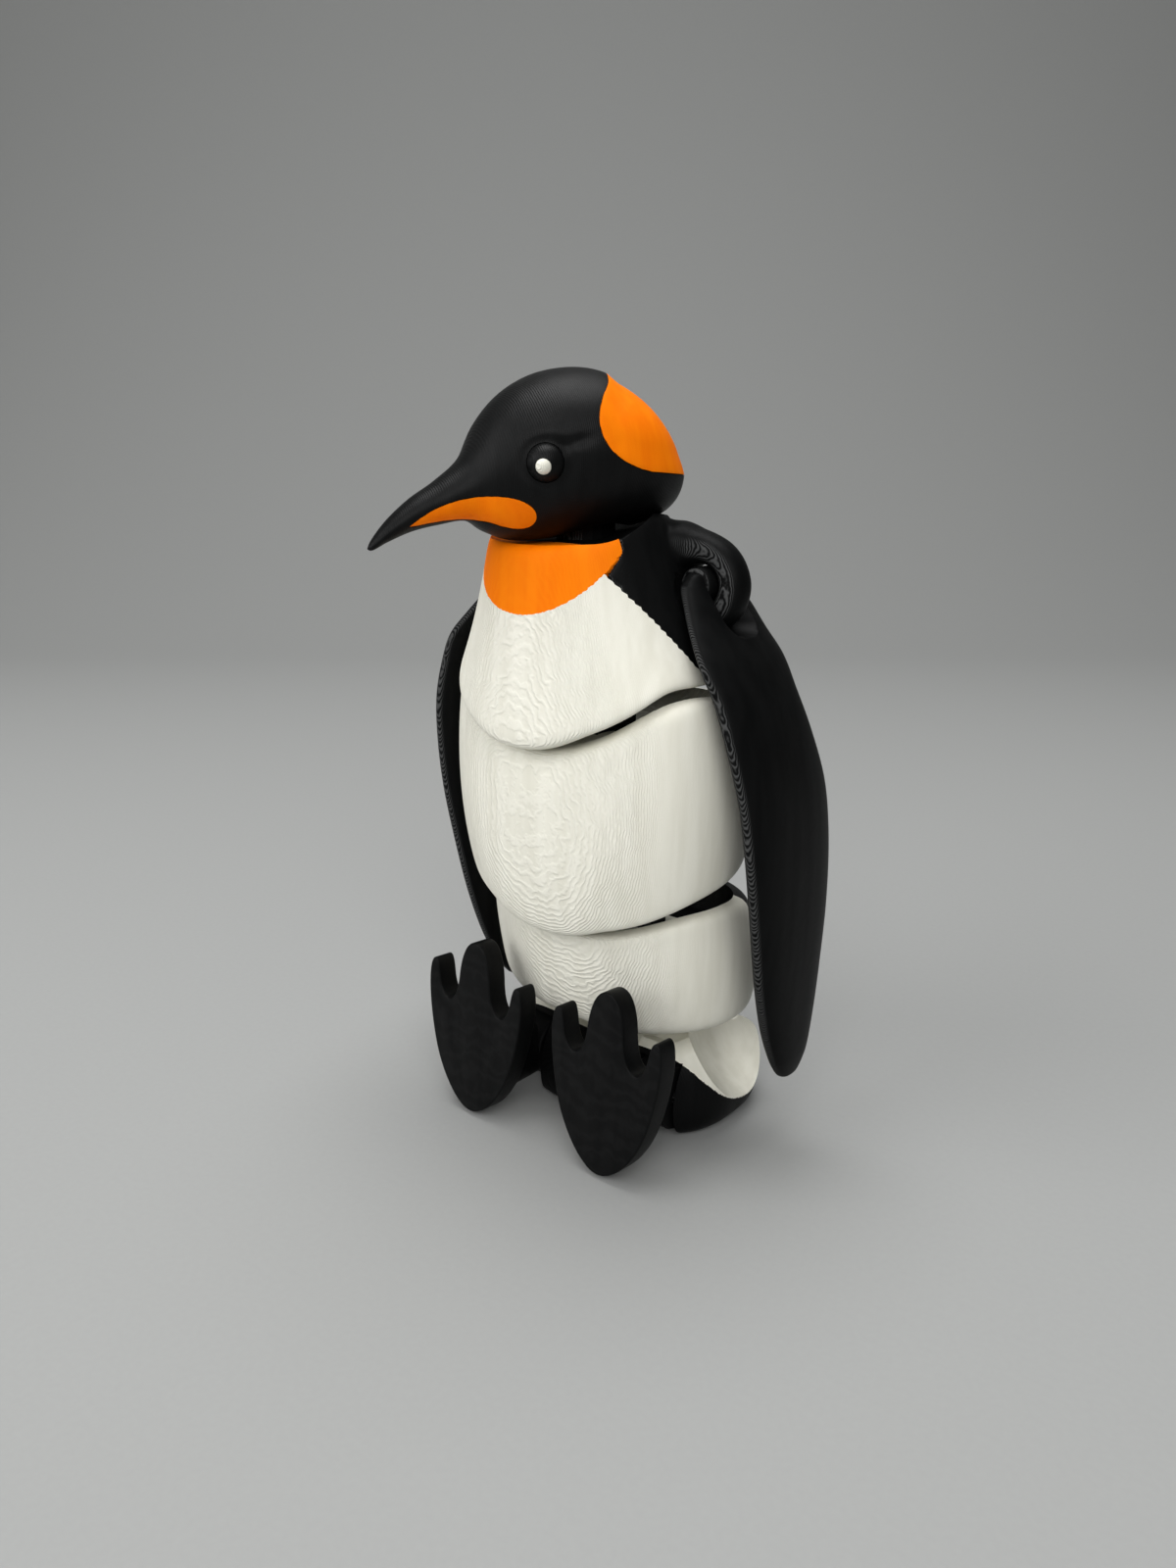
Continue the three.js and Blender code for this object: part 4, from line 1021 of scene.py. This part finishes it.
# the open side of the cup: middle of the egg, its radii along x and z, to the front and behind
SCOOP, SCOOP_WIDE, SCOOP_TALL, SCOOP_AHEAD, SCOOP_BEHIND = (32, 8, 22.4), 20, 19, 18.4, 12.3


def leg_well(name, grow):
    """Room for a leg: round about its pin, open to the front and below."""
    y, z = HIP_AXIS[1:]
    r = HUB + PLAY + grow
    outline = np.vstack([[[-FAR, z + r]], arc((y, z), r, 90, 0, 24),
                         [[y + r, -FAR], [y - r, -FAR], [y - r, z - r], [-FAR, z - r]]])
    half = HUB_WIDTH / 2 + PLAY + grow
    return prism(name, outline, along_x, HIP_AXIS[0] - half, HIP_AXIS[0] + half)


def cup_edge(name, ragged=0.12, count=200):
    """The boundary between cup and base: a wide arc with a stepped edge, closed by a straight line
    just inside the hip's back."""
    line = arc(CUP_CENTRE, CUP_RADIUS, *CUP_SPAN, count)
    line[:, 1] += ragged * np.round(CHANCE.uniform(-1, 1, count))
    behind = [CUP_FOOT, CUP_BACK, (CUP_BACK[0], FAR), (line[0, 0], FAR)]
    return prism(name, np.vstack([line, behind]), along_x, -FAR, FAR)


def scoop(name):
    """The open side of the cup: an egg about a middle outside the hip, longer to the front than to
    the back. Turn and rise are its two angles."""
    rise, turn = half_turn(70), full_turn(140)
    ahead = np.cos(rise) * np.cos(turn)
    x = SCOOP_WIDE * np.cos(rise) * np.sin(turn)
    y = -np.where(ahead > 0, SCOOP_AHEAD, SCOOP_BEHIND) * ahead
    return ball(name, SCOOP + np.stack([x, y, SCOOP_TALL * np.sin(rise) + 0 * turn], -1))


# %% Hip cup and base
wells, roofs = pair_of(leg_well("well_left", 0)), pair_of(leg_well("roof_left", ROOF))
hollow = carve(ball("hollow", dish(HIP, HIP_DISH)), ("DIFFERENCE", *roofs))
above_ground = np.array([[-FAR, 0], [FAR, 0], [FAR, FAR], [-FAR, FAR]])
ground = prism("ground", above_ground, along_x, -FAR, FAR)
cup_side = cup_edge("cup_side")
base = carve(ball("hip_base_look", cushion(HIP)), ("INTERSECT", ground),
             ("DIFFERENCE", hollow, lug_slot("waist_slot", WAIST), *wells,
              *pair_of(scoop("scoop_left"))))
cup = carve(copy_of(base, "hip_cup_look"), ("INTERSECT", cup_side))
carve(base, ("DIFFERENCE", cup_side))
hand_over(cup, "hips", white_body)
hand_over(base, "hips", black_foot)
clear()

# %% [markdown]
# ## Legs
# Each leg is a hub on its pin, a short oval shank and a flat foot with three toes. A bevel on a
# flat plate would do for the foot, but its narrow toes make bevels fold over, so the outline is
# repeated at a few depths, drawn in a little near both faces.

# %% Foot
FOOT_LENGTH, FOOT_HALF, FOOT_THICK, FOOT_REACH = 34, 12.2, 4.4, 21
LEAN, FOOT_SOFT, HEEL = math.radians(5), 0.4, (1, 0.4)  # the heel's shift outwards and height
HALF_FOOT = [[0, 0], [0.28, 0, 0.62, 0.14, 0.79, 0.305], [0.92, 0.44, 1, 0.6, 1, 0.7],
             [1, 0.77, 0.97, 0.83, 0.885, 0.83], [0.8, 0.83, 0.78, 0.76, 0.75, 0.71],
             [0.71, 0.65, 0.63, 0.615, 0.53, 0.625], [0.42, 0.635, 0.36, 0.69, 0.335, 0.77],
             [0.31, 0.9, 0.2, 1, 0, 1]]


def foot(name):
    """Outline in the sole's plane, repeated through the thickness and leaned back at the toes."""
    right_half = curve_outline(HALF_FOOT, 18)
    outline = np.vstack([right_half, (right_half * (-1, 1))[-2:0:-1]]) * (FOOT_HALF, FOOT_LENGTH)
    bend = np.linspace(0, np.pi / 2, 5)
    sunk, drawn = FOOT_SOFT * (1 - np.cos(bend)), FOOT_SOFT * (1 - np.sin(bend))
    depth = np.concatenate([sunk, FOOT_THICK - sunk[::-1]])[:, None]
    rows = np.stack([outset(outline, -d) for d in (*drawn, *drawn[::-1])])
    y = depth * math.cos(LEAN) + rows[..., 1] * math.sin(LEAN)
    z = rows[..., 1] * math.cos(LEAN) - depth * math.sin(LEAN)
    heel = np.array([HIP_AXIS[0] + HEEL[0], HIP_AXIS[1] - FOOT_REACH,
                     HEEL[1] + FOOT_THICK * math.sin(LEAN)])
    return capped(name, heel + np.stack([rows[..., 0], y, z], -1))


# %% Both legs
SHANK_TALL, BORE, BORE_HALF = 5.3, 2.6, 20
half = HUB_WIDTH / 2
shank = rod("shank", HIP_AXIS, (FOOT_THICK / 2 - FOOT_REACH, 0), (half, SHANK_TALL), along_y,
            soft=0)
hub = rod("hub", HIP_AXIS, (-half, half), HUB, along_x)
bore = rod("bore", HIP_AXIS, (-BORE_HALF, BORE_HALF), BORE, along_x)
leg = carve(foot("leg_left_look"), ("UNION", shank, hub), ("DIFFERENCE", bore))
for side, piece in zip(("left", "right"), pair_of(leg)):
    hand_over(piece, f"{side}_leg", black_foot)
clear()

# %% [markdown]
# ## Hidden hinge pieces
# Pins, lugs and the neck peg sit inside the cushions and show only in the gaps. New meshes would
# add nothing there, so their CAD solids are kept and only get the same black plastic.

# %% Colour the kept CAD nodes
kept = {name: node for name, node in frame["nodes"].items() if not node.hide_render}
for node in kept.values():
    node.data.materials.clear()
    node.data.materials.append(black_body)
print("kept from CAD:", *kept)

# %% [markdown]
# ## Studio
# A pale floor that curves up into a wall makes a plain background without a line. A broad lamp
# stands on the camera's left, a second one above and behind the camera fills the front, a third
# hangs over the toy, and a soft grey world lifts the shadows. The levels are set so that a
# colour renders about as it is written.

# %% Directions of the camera
AZIMUTH, ELEVATION = 0.70998608, 0.27759011
NEARER = np.array([math.sin(AZIMUTH) * math.cos(ELEVATION),
                   -math.cos(AZIMUTH) * math.cos(ELEVATION), math.sin(ELEVATION)])
RIGHT = np.array([math.cos(AZIMUTH), math.sin(AZIMUTH), 0])
UP = np.cross(NEARER, RIGHT)
TARGET = np.array([0, 0, 72])


def seen_from(right, nearer, up):
    """A place at distances from the toy's middle, in the camera's own directions."""
    return TARGET + right * RIGHT + nearer * NEARER + up * UP


# %% Floor and wall
def sweep(name, near=-1500, far=500, radius=500, high=2600, half=3000):
    """A profile of floor, quarter circle and wall, carried straight from side to side."""
    bend = np.linspace(0, np.pi / 2, 24)
    across = np.concatenate([[near], far + radius * np.sin(bend), [far + radius]])
    up = np.concatenate([[0], radius * (1 - np.cos(bend)), [high]])
    deep = np.cross([0, 0, 1], RIGHT)
    line = across[:, None] * deep + up[:, None] * np.array([0, 0, 1])
    points = np.concatenate([line - half * RIGHT, line + half * RIGHT])
    k = np.arange(len(up) - 1)
    quads = np.stack([k, k + len(up), k + len(up) + 1, k + 1], -1)
    mesh = bpy.data.meshes.new(name)
    mesh.from_pydata((points * MM).tolist(), [], quads.tolist())
    mesh.shade_smooth()
    return add_object(name, mesh)


studio = sweep("studio_floor")
paper = bpy.data.materials.new("pale_paper")
paper.use_nodes = True
paper_tree = paper.node_tree
paper_skin = paper_tree.nodes["Principled BSDF"]
fibres = noise(paper_tree, new_node(paper_tree, "ShaderNodeTexCoord").outputs["Object"], 900, 3)
paper_tree.links.new(mix_tones(paper_tree, fibres, (0.335, 0.34, 0.335), (0.315, 0.32, 0.315)),
                     paper_skin.inputs["Base Color"])
paper_skin.inputs["Roughness"].default_value = 0.9
studio.data.materials.append(paper)


# %% Lamps and world
def facing(place, target):
    """Rotation whose -Z looks from a place to the target, with +Y as near to up as it can be."""
    back = (place - target) / np.linalg.norm(place - target)
    right = np.cross([0, 0, 1], back)
    right = right / np.linalg.norm(right)
    return Matrix(np.stack([right, np.cross(back, right), back], -1).tolist()).to_4x4()


def lamp(name, place, size, watts):
    """A round lamp that looks at the toy."""
    light = bpy.data.lights.new(name, "AREA")
    light.shape, light.size, light.energy = "DISK", size, watts
    add_object(name, light).matrix_world = Matrix.Translation(place * MM) @ facing(place, TARGET)
    print(f"{name}: {watts} W at {place.round()} mm")


lamp("key_lamp", seen_from(-740, 400, 310), size=0.8, watts=4.2)
lamp("front_lamp", seen_from(0, 900, 300), size=0.7, watts=4.8)
lamp("top_lamp", seen_from(0, 150, 850), size=0.7, watts=7)
world = bpy.data.worlds.new("soft_room")
world.use_nodes = True
world.node_tree.nodes["Background"].inputs["Color"].default_value = (1.0, 0.99, 0.97, 1)
world.node_tree.nodes["Background"].inputs["Strength"].default_value = 0.16
SCENE.world = world
SCENE.view_settings.view_transform = "Standard"

# %% Camera
SENSOR, FOCAL_SHARE = 36, 1202 / 1600  # focal length as a share of the picture's long side
camera = add_object("camera", bpy.data.cameras.new("camera"))
camera.data.sensor_width, camera.data.lens = SENSOR, FOCAL_SHARE * SENSOR
camera.data.clip_start, camera.data.clip_end = 0.01, 20
eye_place = seen_from(-8.0783, 218.528, -8.6975)
camera.matrix_world = (Matrix.Translation(eye_place * MM)
                       @ Matrix(np.stack([RIGHT, UP, NEARER], -1).tolist()).to_4x4())
SCENE.camera = camera
print("camera at", eye_place.round(1), "mm")
